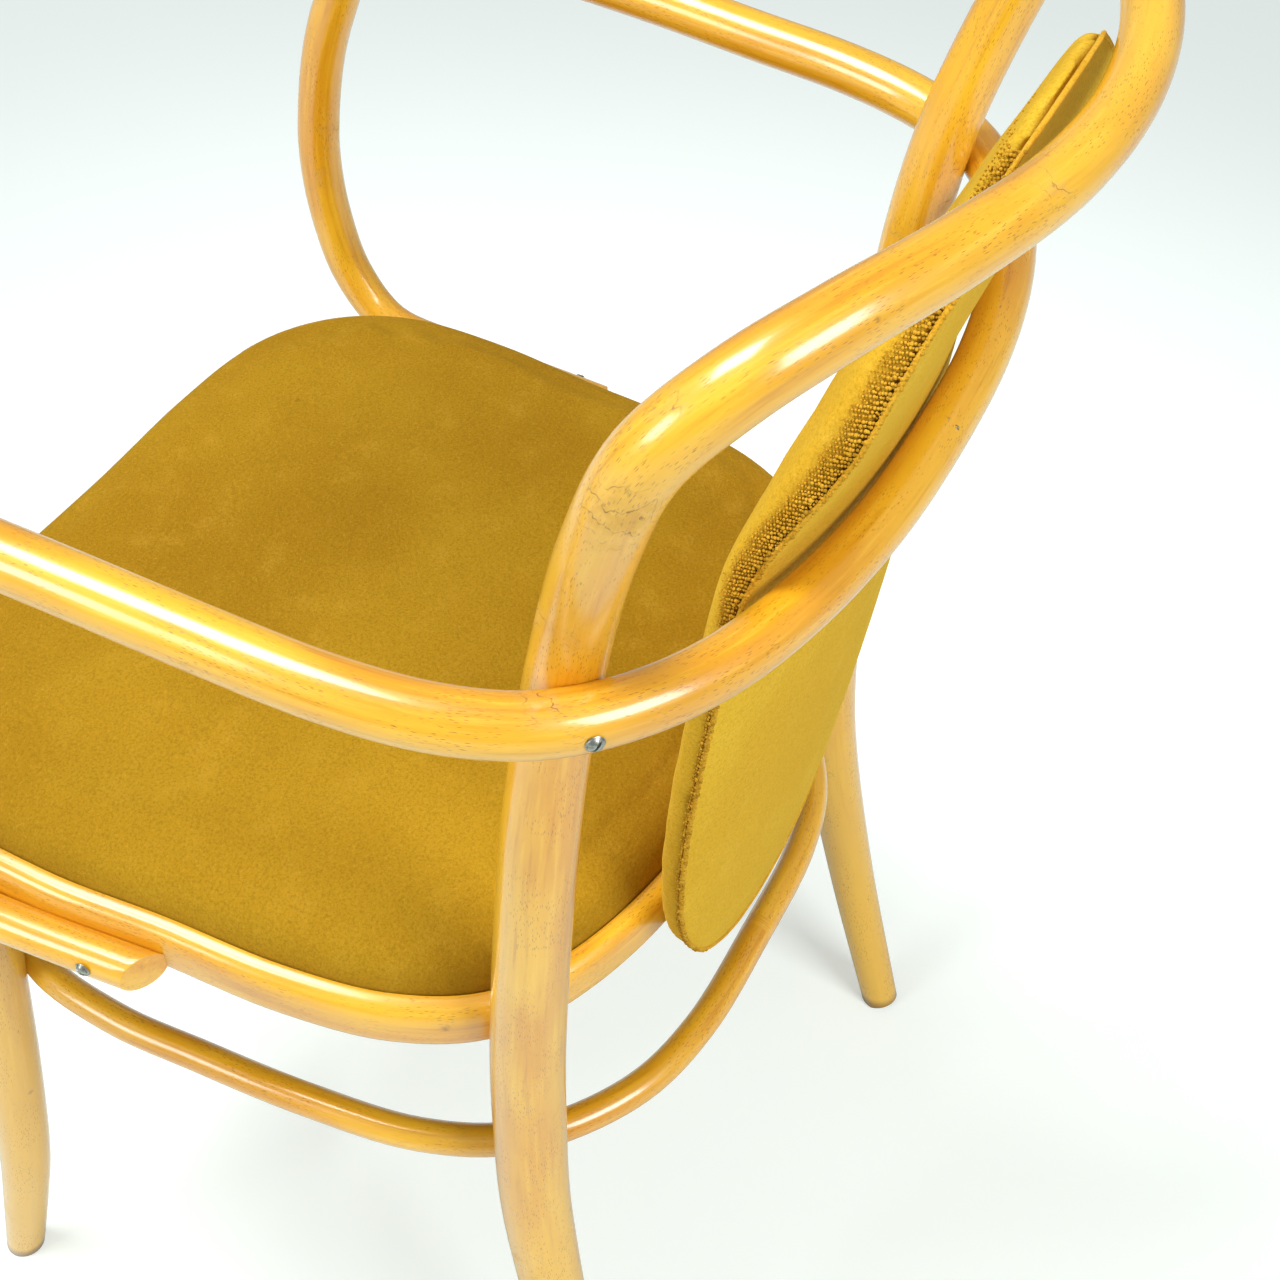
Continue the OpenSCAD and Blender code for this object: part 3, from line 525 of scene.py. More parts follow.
# %% Arm bow
ARM_BOW_SHARES = [
    (0, 1, 0.915, 0.9), (0.23, 0.994, 0.917, 0.9), (0.444, 0.968, 0.919, 0.92),
    (0.64, 0.92, 0.922, 0.94), (0.785, 0.852, 0.928, 0.96), (0.889, 0.764, 0.935, 0.98),
    (0.95, 0.652, 0.944, 1), (0.98, 0.512, 0.956, 1), (0.989, 0.342, 0.969, 1),
    (0.996, 0.155, 0.986, 1), (1, -0.05, 0.997, 1), (1, -0.41, 1, 1),
    (1, -0.64, 0.968, 1), (0.997, -0.81, 0.893, 0.99), (0.996, -0.895, 0.775, 0.98),
    (0.995, -0.953, 0.655, 0.97), (0.993, -0.99, 0.52, 0.965), (0.987, -1, 0.4, 0.96),
    (0.981, -0.975, 0.26, 0.955), (0.973, -0.9, 0.115, 0.94), (0.962, -0.745, 0.015, 0.9),
    (0.956, -0.5, 0, 0.84), (0.95, -0.25, 0, 0.8), (0.94, -0.02, 0, 0.8)]
ARM_TIP_SHARES = (0.929, 0.8)
ARM_TIP, ARM_TIP_TURN = 26, 28
half_arm = [[x * ARM_HALF_W, reach(y, ARM_BACK, ARM_FRONT),
             ARM_END_H + z * (ARM_H - ARM_END_H), d * ARM_D] for x, y, z, d in ARM_BOW_SHARES]
half_arm.append([ARM_TIP_SHARES[0] * ARM_HALF_W, ARM_TIP + ARM_D / 2, ARM_END_H,
                 ARM_TIP_SHARES[1] * ARM_D])
arm_path = smooth(mirrored(half_arm[:0:-1]) + half_arm, 6)
arm_bow = bend_rod("bent_arm_bow", placed(arm_path), 36, wood_arm)
tip_turn = math.radians(ARM_TIP_TURN)
for side in (1, -1):
    # only the low end on this side is sawn, not the armrest above it
    cut_flat(arm_bow, (side * SEAT_HALF_W, ARM_TIP + shift_y, ARM_END_H),
             (side * math.sin(tip_turn), math.cos(tip_turn), 0), soften=1.3,
             far=lambda co, side=side: co.x * side > 0 and co.z < 0.5 and co.y > -0.15)
edges_sharp(arm_bow)

# %% [markdown]
# ## The leg ring and the front legs
# The leg ring is the thinnest rod, bent to a closed ring and fitted inside the
# four legs. The front legs lean out a little and swell towards the seat.

# %% Leg ring and front legs
BRACE_SHARES = [
    (0, 1), (0.338, 0.992), (0.6, 0.93), (0.828, 0.776), (0.943, 0.568), (0.984, 0.3),
    (0.997, 0.03), (1, -0.263), (0.95, -0.568), (0.798, -0.8), (0.554, -0.937),
    (0.282, -0.984), (0, -1)]
half_ring = [[x * BRACE_HALF_W, reach(y, BRACE_BACK, BRACE_FRONT), BRACE_H, BRACE_D]
             for x, y in BRACE_SHARES]
brace_path = smooth(half_ring + mirrored(half_ring[-2:0:-1]), 8, closed=True)
leg_ring = bend_rod("bent_leg_ring", placed(brace_path), 28, wood_arm, closed=True)

FRONT_LEG_SHARES = [
    (1, 1, 0, 0.66), (0.987, 0.93, 0.14, 0.77), (0.973, 0.873, 0.275, 0.85),
    (0.955, 0.828, 0.475, 0.9), (0.936, 0.8, 0.68, 0.94), (0.917, 0.783, 0.84, 0.97),
    (0.902, 0.77, 1, 1)]
leg_top = (SEAT_H - RING_T
           + math.tan(math.radians(SEAT_TILT)) * FRONT_LEG_SHARES[-1][1] * FOOT_FRONT)
front_legs = []
for side, name in ((1, "turned_front_leg_left"), (-1, "turned_front_leg_right")):
    leg_path = smooth([[side * x * FOOT_HALF_W, -y * FOOT_FRONT, z * leg_top, d * LEG_D]
                       for x, y, z, d in FRONT_LEG_SHARES], 8)
    leg = bend_rod(name, placed(leg_path), 36, wood_leg)
    cut_flat(leg, FEET_CUT, (0, 0, -1), soften=1.5)
    edges_sharp(leg)
    front_legs.append(leg)

# %% [markdown]
# ## The seat ring
# A squarish strip is bent to a rounded ring. Its outer edges are rounded over, and
# a step round the inside takes the upholstered seat. Its shape isn't round, so its
# section is carried round the outline point by point.

# %% Seat ring
SEAT_SHARES = [
    (0, 1), (0.324, 0.988), (0.6, 0.922), (0.804, 0.806), (0.917, 0.618), (0.966, 0.376),
    (0.98, 0.102), (1, -0.22), (0.976, -0.549), (0.858, -0.8), (0.648, -0.956),
    (0.344, -1), (0, -0.995)]


def outward(line):
    """Flat normals of a closed line that runs clockwise seen from above."""
    t = np.roll(line, -1, axis=0) - np.roll(line, 1, axis=0)
    t /= np.linalg.norm(t, axis=1)[:, None]
    return np.column_stack([-t[:, 1], t[:, 0]])


def on_seat(points):
    """From the level seat, with the ring's top at zero, to metres in the room."""
    p, tilt = np.array(points, float), math.radians(SEAT_TILT)
    y = p[:, 1] * math.cos(tilt) + p[:, 2] * math.sin(tilt) + shift_y
    z = SEAT_H - p[:, 1] * math.sin(tilt) + p[:, 2] * math.cos(tilt)
    return np.column_stack([p[:, 0], y, z]) * MM


def seat_loop(line, height):
    """A flat line at one height over the ring's top, as points in the room."""
    return on_seat(np.column_stack([line, np.full(len(line), height)]))


def rounded(corners, steps=5):
    """A closed section from corners of [outward, up, radius]."""
    points = []
    for i, (x, y, radius) in enumerate(corners):
        here = np.array([x, y])
        rays = [np.array(corners[(i + s) % len(corners)][:2]) - here for s in (-1, 1)]
        first, last = (here + ray / np.linalg.norm(ray) * radius for ray in rays)
        for k in range(steps + 1):
            t = k / steps
            points.append((1 - t)**2 * first + 2 * t * (1 - t) * here + t * t * last)
    return np.array(points)


def sweep(name, line, section, wood):
    """Carries a closed section round a closed flat line, with the place in the straight strip."""
    m, n = len(section), len(line)
    points = [[*(p + u * o), z] for p, o in zip(line, outward(line)) for u, z in section]
    faces = [(i * m + k, i * m + (k + 1) % m, (i + 1) % n * m + (k + 1) % m,
              (i + 1) % n * m + k) for i in range(n) for k in range(m)]
    piece = mesh_piece(name, on_seat(points), faces)
    store(piece, "straight", np.array([[s, u, z] for s in run_length(line)
                                       for u, z in section]) * MM)
    face_out(piece)
    shade_smooth(piece)
    dress(piece, wood)
    return piece


half_seat = [[x * SEAT_HALF_W, reach(y, SEAT_BACK, SEAT_FRONT)] for x, y in SEAT_SHARES]
outline = smooth(half_seat + mirrored(half_seat[-2:0:-1]), 10, closed=True)
half_w = RING_W / 2
ring_section = rounded([
    (-half_w, -RABBET, 0.8), (half_w - RING_LIP, -RABBET, 0.4), (half_w - RING_LIP, 0, 1.2),
    (half_w, 0, 11), (half_w, -RING_T, 7), (-half_w, -RING_T, 2.5)])
seat_ring = sweep("bent_seat_ring", outline - outward(outline) * RING_W / 2, ring_section,
                  wood_arm)
edges_sharp(seat_ring, 50)
print("seat ring: %d faces" % len(seat_ring.data.polygons))

# %% [markdown]
# ## Screws
# The chair is held by slotted screws with domed heads. One screw is modelled with
# its slot, and a geometry tree puts a copy wherever the frame has one. The places
# and directions are read off the frame's own screws.

# %% One slotted screw
HEAD_D, HEAD_T, SHANK_D, SHANK_L, SLOT_W, SLOT_T = 8.4, 2.6, 4.0, 12, 1.1, 1.2

steel, t, shader, room = new_material("plated_steel")
stain = t.noise(room, 900, 4, 0.65)
t.feed(shader, {
    "Base Color": t.layers(srgb(176, 180, 172),
                           (t.between(stain, 0.42, 0.7), srgb(112, 108, 92))),
    "Roughness": t.between(stain, 0.3, 0.7, 0.24, 0.5), "Metallic": 1.0,
    "Normal": t.bump(stain, 0.12, 0.0002)})


def turned(name, profile, sides):
    """A solid turned on a lathe from [radius, height] points, its ends on the axis."""
    points, faces = [], []
    for radius, z in profile:
        points += [(radius * math.cos(2 * math.pi * k / sides),
                    radius * math.sin(2 * math.pi * k / sides), z) for k in range(sides)]
    for i in range(len(profile) - 1):
        faces += [(i * sides + k, i * sides + (k + 1) % sides,
                   (i + 1) * sides + (k + 1) % sides, (i + 1) * sides + k)
                  for k in range(sides)]
    faces += [tuple(range(sides))[::-1],
              tuple((len(profile) - 1) * sides + k for k in range(sides))]
    piece = mesh_piece(name, np.array(points) * MM, faces)
    face_out(piece)
    return piece


ball = (HEAD_D**2 / 4 + HEAD_T**2) / (2 * HEAD_T)
dome_line = [(math.sqrt(max(0.0, ball**2 - (ball - h)**2)), -HEAD_T + h)
             for h in np.linspace(0.02, HEAD_T - 0.3, 9)]
screw = turned("screw", [(0.2, SHANK_L), (SHANK_D / 2, SHANK_L - 1), (SHANK_D / 2, 0),
                         (HEAD_D / 2 - 0.2, 0), (HEAD_D / 2, -0.2)] + dome_line[::-1], 40)
corners = [(x * HEAD_D * MM, y * SLOT_W / 2 * MM, z * MM) for x in (-1, 1) for y in (-1, 1)
           for z in (-HEAD_T - 1, SLOT_T - HEAD_T)]
slot = mesh_piece("slot", corners, [(0, 1, 3, 2), (4, 6, 7, 5), (0, 4, 5, 1), (2, 3, 7, 6),
                                    (0, 2, 6, 4), (1, 5, 7, 3)])
face_out(slot)
cut = screw.modifiers.new("slot", "BOOLEAN")
cut.object, cut.operation, cut.solver = slot, "DIFFERENCE", "EXACT"
soft = screw.modifiers.new("soft", "BEVEL")
soft.width, soft.segments, soft.limit_method = 0.12 * MM, 2, "ANGLE"
baked(screw)
bpy.data.objects.remove(slot)
shade_smooth(screw)
edges_sharp(screw, 35)
print("screw: %d faces" % len(screw.data.polygons))


# %% Where the frame's screws are
def solids_of(node):
    """The separate solids of a CAD node, each as its points in metres."""
    bm = bmesh.new()
    bm.from_mesh(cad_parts[node].data)
    bmesh.ops.remove_doubles(bm, verts=bm.verts, dist=1e-5)
    left, solids = set(bm.verts), []
    while left:
        island, edge = set(), [left.pop()]
        while edge:
            v = edge.pop()
            island.add(v)
            near = {e.other_vert(v) for e in v.link_edges} & left
            left -= near
            edge += near
        solids.append(np.array([v.co for v in island]))
    bm.free()
    return sorted(solids, key=lambda s: tuple(s.mean(0).round(4)))


def screw_place(points):
    """(middle of the head's underside, direction of the shank, head width) of one screw."""
    middle = points.mean(0)
    axis = np.linalg.svd(points - middle, full_matrices=False)[2][0]
    depth = (points - middle) @ axis
    width = np.linalg.norm(points - middle - np.outer(depth, axis), axis=1)
    if depth[width.argmax()] > 0:
        axis, depth = -axis, -depth
    rim = width > width.max() * 0.97
    return middle + axis * depth[rim].max(), axis, 2 * width.max()


# %% Geometry tree of the screws
driver, given = new_tree("screws", Thing="Object", Finish="Material")
driver.plant(given, driver.add("FunctionNodeAxisAngleToRotation", {
    "Axis": (0, 0, 1), "Angle": driver.named("slot_turn")})[0], driver.named("size"))

SLOT_TURNS = {"arm_upright_screws": 0.6, "arm_front_screws": 1.1, "rear_leg_screws": 0.2,
              "leg_ring_screws": 2.0, "seat_board_screws": 1.4, "back_pad_screws": 0.4}
TURN_STEP = 0.8
screw_pieces = {}
for node, turn_by in SLOT_TURNS.items():
    places, axes, widths = zip(*(screw_place(s) for s in solids_of(node)))
    piece = mesh_piece("slotted_" + node, places)
    store(piece, "aim", axes)
    store(piece, "size", np.array(widths) / (HEAD_D * MM))
    store(piece, "slot_turn", [turn_by + TURN_STEP * i for i in range(len(places))])
    screw_pieces[node] = grow(piece, driver.tree, Thing=screw, Finish=steel)
    print("%s: %d screws" % (node, len(places)))
bpy.data.objects.remove(screw)

# %% [markdown]
# ## Mustard velvet
# Velvet is a short, dense pile. Its colour depends on which way the pile lies, so it
# shows soft lighter and darker clouds, and its edges catch the light. The pile itself
# is a very fine grain in colour and bump.

# %% Velvet material
SPECK, DARK_PILE_AND_SHADE_SHARE = srgb(74, 46, 12), 0.42


def velvet(name, base, dark, light, cloud_scale=5.0, specks=()):
    """Mustard velvet; a point attribute darkens it where its pile is flattened, and as painted
    shade at the seam and between the seam's loops.
    """
    material, t, shader, room = new_material(name)
    cloud, brushed = t.noise(room, cloud_scale), t.noise(room, 40, 5, 0.65)
    grain, pile = t.noise(room, 620, 3, 0.75), t.noise(room, 1700, 2, 0.7)
    # a dark pile colour, for flattened pile in the grain and, through the point attribute read
    # next, for painted shade at the seam and between its loops
    dark_pile_and_shade = tuple(c * DARK_PILE_AND_SHADE_SHARE for c in dark[:3]) + (1,)
    worn = t.add("ShaderNodeAttribute", attribute_name="worn")["Fac"]
    colour = t.layers(dark, (t.between(cloud, 0.38, 0.66), base),
                      (t.between(brushed, 0.5, 0.78, 0, 0.25), light),
                      (t.between(grain, 0.52, 0.34, 0, 0.34), dark_pile_and_shade),
                      (t.between(grain, 0.54, 0.74, 0, 0.4), light),
                      (t.between(pile, 0.5, 0.3, 0, 0.3), dark_pile_and_shade),
                      (t.math(worn, 0.75), dark_pile_and_shade))
    if specks:
        colour = t.layers(colour, (t.math(t.spots(room, specks), 0.75), SPECK))
    fine = t.bump(t.math(pile, grain, "ADD"), 0.45, 0.0006)
    t.feed(shader, {
        "Base Color": colour, "Roughness": 0.95, "Specular IOR Level": 0.12,
        "Sheen Weight": 0.5, "Sheen Roughness": 0.35, "Sheen Tint": light,
        "Normal": t.bump(brushed, 0.15, 0.002, Normal=fine)})
    return material


SEAT_SPECKS = [(-0.1046, -0.2056, 0.4801, 0.0028), (-0.1667, -0.1131, 0.4752, 0.002),
               (-0.0214, -0.1516, 0.4786, 0.0014)]
# seat and back take two copies of one mustard velvet: the seat's is darker, as painted shade, and
# the back's lighter, as painted light
seat_velvet = velvet("seat_velvet", srgb(177, 137, 27), srgb(163, 121, 19), srgb(208, 165, 56),
                     specks=SEAT_SPECKS)
back_velvet = velvet("back_velvet", srgb(225, 181, 48), srgb(216, 168, 40), srgb(242, 206, 88))
pile_velvet = velvet("pile_velvet", srgb(222, 172, 50), srgb(208, 156, 38), srgb(246, 208, 92),
                     cloud_scale=60.0)

# %% [markdown]
# ## Upholstery that swells
# A pad is a closed skin pulled over foam. It starts here a little too thin, is given
# an even mesh, and Blender's cloth solver blows it up a bit while its edges are held,
# as they are by the tacks and the seam. Only moves outwards are kept, and a cap on
# them keeps the pad inside its place.

# %% Closed pads and the swelling
PRESSURE, SWELL_FRAMES, STRETCH_STIFF, BEND_STIFF, CLOTH_QUALITY = 4.0, 16, 12, 0.6, 4


def pad_mesh(name, rings):
    """A closed skin over rings of points, with a point in the middle of both ends."""
    m, n = len(rings[0]), len(rings)
    points = [p for ring in rings for p in ring]
    points += [rings[0].mean(0), rings[-1].mean(0)]
    faces = [(i * m + k, i * m + (k + 1) % m, (i + 1) * m + (k + 1) % m, (i + 1) * m + k)
             for i in range(n - 1) for k in range(m)]
    faces += [(n * m, (k + 1) % m, k) for k in range(m)]
    faces += [(n * m + 1, (n - 1) * m + k, (n - 1) * m + (k + 1) % m) for k in range(m)]
    piece = mesh_piece(name, points, faces)
    face_out(piece)
    return piece


def positions(piece):
    flat = np.zeros(len(piece.data.vertices) * 3, np.float32)
    piece.data.vertices.foreach_get("co", flat)
    return flat.reshape(-1, 3).astype(float)


def swell(piece, held, voxel_mm, cap_mm):
    """Remeshes a pad evenly and lets the cloth solver swell it outwards, by cap_mm at most;
    held(points) gives 1 where the skin is fixed and 0 where it is free."""
    remesh = piece.modifiers.new("even", "REMESH")
    remesh.mode, remesh.voxel_size = "VOXEL", voxel_mm * MM
    baked(piece)
    start = positions(piece)
    normals = np.empty(start.size)
    piece.data.vertex_normals.foreach_get("vector", normals)
    normals = normals.reshape(-1, 3)
    share = held(start)
    group = piece.vertex_groups.new(name="held")
    for i, value in enumerate(share):
        group.add([i], float(value), "REPLACE")
    cloth = piece.modifiers.new("cloth", "CLOTH")
    settings = cloth.settings
    settings.use_pressure, settings.uniform_pressure_force = True, PRESSURE
    settings.vertex_group_mass = "held"
    settings.tension_stiffness = settings.compression_stiffness = STRETCH_STIFF
    settings.bending_stiffness = BEND_STIFF
    settings.effector_weights.gravity = 0
    settings.quality = CLOTH_QUALITY
    cloth.collision_settings.use_self_collision = False
    cloth.point_cache.frame_start, cloth.point_cache.frame_end = 1, SWELL_FRAMES
    for f in range(1, SWELL_FRAMES + 1):
        scene.frame_set(f)
    baked(piece)
    scene.frame_set(1)
    step = ((positions(piece) - start) * normals).sum(axis=1)
    step = np.clip(step, 0, cap_mm * MM) * (1 - share)
    moved = start + step[:, None] * normals
    piece.data.vertices.foreach_set("co", moved.astype(np.float32).ravel())
    piece.data.update()
    print("%s swelled by up to %.1f mm" % (piece.name, step.max() / MM))
    smooth_over(piece)


def smooth_over(piece):
    """One subdivision, shaded smooth."""
    fine = piece.modifiers.new("fine", "SUBSURF")
    fine.levels = fine.render_levels = 1
    baked(piece)
    shade_smooth(piece)


def step_up(x, low, high):
    """A smooth step from 0 at low to 1 at high."""
    t = np.clip((x - low) / (high - low), 0, 1)
    return t * t * (3 - 2 * t)


# %% [markdown]
# ## The seat pad
# The pad lies in the step of the ring. Its velvet comes up the side of the board,
# rolls over a soft edge and crowns by a few millimetres towards the middle.

# %% Seat pad
BOARD_T, SEAT_EDGE, SEAT_CROWN, PAD_GAP = 8, 28, 4, 0.6
ROLL_POWER, CROWN_POWER, SLACK_POWER = 24, 2.4, 8
SLACK = 1.2

pad_line = (outline - outward(outline) * (RING_LIP + PAD_GAP))[::2]
low = BOARD_T - RABBET
rings = []
for s in np.concatenate([np.linspace(0.04, 0.88, 16), [0.92, 0.95, 0.975, 0.99, 0.998]]):
    crown = SEAT_EDGE + SEAT_CROWN * (1 - s**CROWN_POWER)
    top = low + crown * math.sqrt(1 - s**ROLL_POWER) - SLACK * (1 - s**SLACK_POWER)
    rings.append(seat_loop(pad_line * s, top))
for z in (low + 1, -RABBET / 2, -RABBET + 0.4):
    rings.append(seat_loop(pad_line, z))
rings.append(seat_loop(pad_line * 0.5, -RABBET + 0.4))
seat_pad = pad_mesh("seat_pad_velvet", rings)


def level_height(points):
    """Height over the ring's top, along the seat's own upright, in millimetres."""
    tilt = math.radians(SEAT_TILT)
    y, z = points[:, 1] / MM - shift_y, points[:, 2] / MM - SEAT_H
    return y * math.sin(tilt) + z * math.cos(tilt)


swell(seat_pad, lambda p: 1 - step_up(level_height(p), -1.5, 7), voxel_mm=4.5, cap_mm=2.5)
dress(seat_pad, seat_velvet)
print("seat pad: %d faces" % len(seat_pad.data.polygons))

# %% [markdown]
# ## The back pad
# A long oval pad leans against the rear of the seat ring, the arm bow and the hoop.
# A bent board is inside it. The front is boxed and full, the rear nearly flat, and
# their covers meet in a seam that runs all round.

# %% Back pad's surface
PAD_LOW, PAD_TOP, PAD_HALF_W, PAD_POWER = 349, 893, 141, 2.6
PAD_WRAP, WRAP_FADE = 14, 100
PAD_DEEPER, DEEPER_FROM, DEEPER_TO = 10, (690, 800), (850, 880)
PAD_FRONT, PAD_FRONT_TOP, SLIM_FADE, PAD_REAR, SEAM_D = 20.5, 13, 150, 7, 6
FRONT_SHARP, FRONT_POWER, REAR_SHARP, REAR_POWER = 6, 5, 1.3, 3
RAIL_TOUCH, ARM_TOUCH, CREST_TOUCH, TUFT_SHARE = 0.6, 1.2, 3.9, 0.16
pad_mid, pad_half_h = (PAD_LOW + PAD_TOP) / 2, (PAD_TOP - PAD_LOW) / 2


def dome(s, sharp, power):
    """Height share of a domed face at the share s of the way out to its rim."""
    return np.maximum(0, 1 - np.asarray(s, float)**power)**(1 / sharp)


def front_face(s):
    return PAD_FRONT * dome(s, FRONT_SHARP, FRONT_POWER)


def rear_face(s):
    return -PAD_REAR * dome(s, REAR_SHARP, REAR_POWER)


# the heights and depths where the pad rests on the ring's rear rail, the arm bow and the hoop
_, rail_y, rail_z = on_seat([[0, SEAT_BACK, 5 - RING_T]])[0] / MM
arm_y, arm_z, arm_t = half_arm[0][1:]
rest_z = [rail_z, arm_z, PAD_TOP]
low_share, arm_share = (abs(z - pad_mid) / pad_half_h for z in rest_z[:2])
rest_y = [rail_y - shift_y + RAIL_TOUCH + front_face(low_share),
          arm_y - arm_t / 2 - ARM_TOUCH + rear_face(arm_share),
          BOW_BACK - BOW_D * BACK_BOW_SHARES[-1][3] / 2 - CREST_TOUCH
          - SEAM_D * (1 + TUFT_SHARE) / 2]
pad_slope = (rest_y[1] - rest_y[0]) / (rest_z[1] - rest_z[0])
pad_bend = ((rest_y[2] - rest_y[1] - pad_slope * (rest_z[2] - rest_z[1]))
            / (rest_z[2] - rest_z[1])**2)


def deeper(z):
    """How far the velvet sinks back between the uprights, below the hoop's crest."""
    return PAD_DEEPER * step_up(z, *DEEPER_FROM) * (1 - step_up(z, *DEEPER_TO))


def slim(z):
    """How much thinner the front padding gets towards the pad's top."""
    return 1 - (1 - PAD_FRONT_TOP / PAD_FRONT) * step_up(z, PAD_TOP - SLIM_FADE, PAD_TOP)


def pad_points(x, z, t):
    """Points of the pad in metres; t is the distance in front of the seam's surface."""
    y = (rest_y[0] + pad_slope * (z - rest_z[0])
         + pad_bend * np.maximum(0, z - rest_z[1])**2)
    wrap = PAD_WRAP * (1 - step_up(z, rest_z[1], rest_z[1] + WRAP_FADE))
    y = y + deeper(z) - wrap * (x / PAD_HALF_W)**2
    return np.column_stack([x, y - t + shift_y, z]) * MM


def seam_depth(points):
    """How far in front of the seam's surface points lie, in millimetres."""
    p = points / MM
    on_surface = pad_points(p[:, 0], p[:, 2], 0.0) / MM
    return on_surface[:, 1] - p[:, 1]


def oval(a):
    """Across and up on the pad's squarish oval, as shares, at angles round it."""
    return [np.sign(f(a)) * np.abs(f(a))**(2 / PAD_POWER) for f in (np.sin, np.cos)]


def pad_oval(s, count):
    """x and z of a ring at the share s of the way from the pad's middle to the seam."""
    across, up = oval(np.linspace(0, 2 * math.pi, count, endpoint=False))
    return s * PAD_HALF_W * across, pad_mid + s * pad_half_h * up


def pad_cover(name, face, slack, count):
    """A closed cover: face(s) is its thickness at the share s, and slack is taken off it.
    Its inner closing face lies inside the pad."""
    rings = []
    for s in np.concatenate([np.linspace(0.04, 0.88, 16), [0.92, 0.95, 0.97, 0.985, 0.995, 1]]):
        x, z = pad_oval(s, count)
        t = face(s)
        if face(0) > 0:
            t = t * (slim(z) + deeper(z) / PAD_FRONT)
        slack_here = slack * (1 - s**SLACK_POWER)
        rings.append(pad_points(x, z, t - math.copysign(slack_here, face(0))))
    for s in (0.96, 0.5):
        rings.append(pad_points(*pad_oval(s, count), 1.5))
    return pad_mesh(name, rings)


# %% Back pad's two covers
back_front = pad_cover("back_pad_front_velvet", front_face, 1.0, 160)
swell(back_front, lambda p: 1 - step_up(seam_depth(p), 2, 9), voxel_mm=4, cap_mm=3)
back_rear = pad_cover("back_pad_rear_velvet", rear_face, 0.3, 240)
smooth_over(back_rear)
for pad in (back_front, back_rear):
    dress(pad, back_velvet)
    print("%s: %d faces" % (pad.name, len(pad.data.polygons)))

# %% [markdown]
# ## The seam and its worn pile
# The two covers meet in a rolled seam. On the chair's left side, which the photograph
# shows, the pile stands up beside it in rows of small loops. Over the armrest the rows
# are wide, below it only a narrow frayed ridge is left. One loop is modelled, and a
# geometry tree plants it on every point, tilted and sized by chance, with a fixed seed.

# %% Geometry tree of the tufts
MOST_SPIN = 3.1
tufts, given = new_tree("tufts", Thing="Object", Finish="Material", Smallest="Float",
                        Largest="Float", Tilt="Float", Seed="Int")
lean = tufts.add("ShaderNodeCombineXYZ", {"X": given["Tilt"], "Y": given["Tilt"],
                                          "Z": MOST_SPIN})[0]
lean_back = tufts.add("ShaderNodeVectorMath", {0: lean, 1: (-1, -1, -1)},
                      operation="MULTIPLY")[0]
lean = tufts.add("FunctionNodeRandomValue", {"Seed": given["Seed"], 0: lean_back, 1: lean},
                 data_type="FLOAT_VECTOR")[0]
size = tufts.add("FunctionNodeRandomValue", {
    "Seed": given["Seed"], 2: given["Smallest"], 3: given["Largest"]}, data_type="FLOAT")[1]
tufts.plant(given, tufts.add("FunctionNodeEulerToRotation", {0: lean})[0],
            tufts.math(size, tufts.named("size")))

# %% Plant the tufts
TUFT_STEP, TUFT_ROW, TUFT_D, TUFT_L, CORD_D = 2.3, 1.3, 1.7, 1.4, 2.4
BAND, FRAY, BAND_GROWS, BAND_SHRINKS = 15.0, 3.5, (630, 730), (790, 870)
PILE_LOW, PILE_TOP, DARK_ROWS = 372, 886, 3
tuft = turned("tuft", [(0.3, TUFT_L), (TUFT_D * 0.42, TUFT_L * 0.8), (TUFT_D / 2, TUFT_L * 0.4),
                       (TUFT_D * 0.4, -0.4)], 6)


def band_width(z):
    """Width of the frayed band on the front cover's side, at a height; the painted shade round
    the loops follows it too.
    """
    wide = FRAY + (BAND - FRAY) * step_up(z, *BAND_GROWS)
    return wide * (1 - 0.25 * step_up(z, *BAND_SHRINKS))


def flank(a, depth):
    """Points on the front cover's side at angles round the pad, and the way out there."""
    across, up = oval(a)
    z = pad_mid + pad_half_h * up
    full = np.clip(max(depth, 0) / (PAD_FRONT * slim(z) + deeper(z)), 0, 0.98)
    share = (1 - full**FRONT_SHARP)**(1 / FRONT_POWER)
    out = np.column_stack([across / PAD_HALF_W, 0 * across, up / pad_half_h])
    out /= np.linalg.norm(out, axis=1)[:, None]
    z = pad_mid + share * pad_half_h * up
    return pad_points(share * PAD_HALF_W * across, z, depth), out, z


chance = np.random.default_rng(5)
fine_a = np.linspace(0, math.pi, 4000)
rim_at = run_length(flank(fine_a, 0)[0])
ribs = np.arange(rim_at[-1] / MM / TUFT_STEP) * TUFT_STEP * MM
ribs = ribs + chance.normal(0, 0.2 * MM, len(ribs))
spots, aims, sizes, shades = [], [], [], []
row = 0
while row * TUFT_ROW < BAND + 1:
    depth = row * TUFT_ROW - 0.6
    marks = ribs + chance.normal(0, 0.18 * MM, len(ribs)) + 0.25 * row * MM
    place, out, z = flank(np.interp(marks, rim_at, fine_a), depth)
    keep = depth < band_width(z) * chance.uniform(0.8, 1.05, len(z))
    keep &= (z > PILE_LOW) & (z < PILE_TOP)
    edge = np.clip(depth / band_width(z), 0, 1)
    frayed = chance.uniform(0.7, 1.2, len(z))
    out[:, 1] = chance.normal(0.35 if row == 0 else -0.1, 0.2, len(z))
    spots.append(place[keep])
    aims.append(out[keep])
    sizes.append((frayed * (1 - 0.65 * edge**2))[keep])
    # the rows next to the seam are darker: dark frayed pile together with painted shade in the
    # seam
    seam_dark = (1.0 if row < DARK_ROWS else 0.2) * chance.uniform(0.1, 1, len(z))
    shades.append(seam_dark[keep])
    row += 1
spots = np.vstack(spots)
pile = mesh_piece("back_pad_pile", spots)
store(pile, "aim", np.vstack(aims))
store(pile, "size", np.concatenate(sizes))
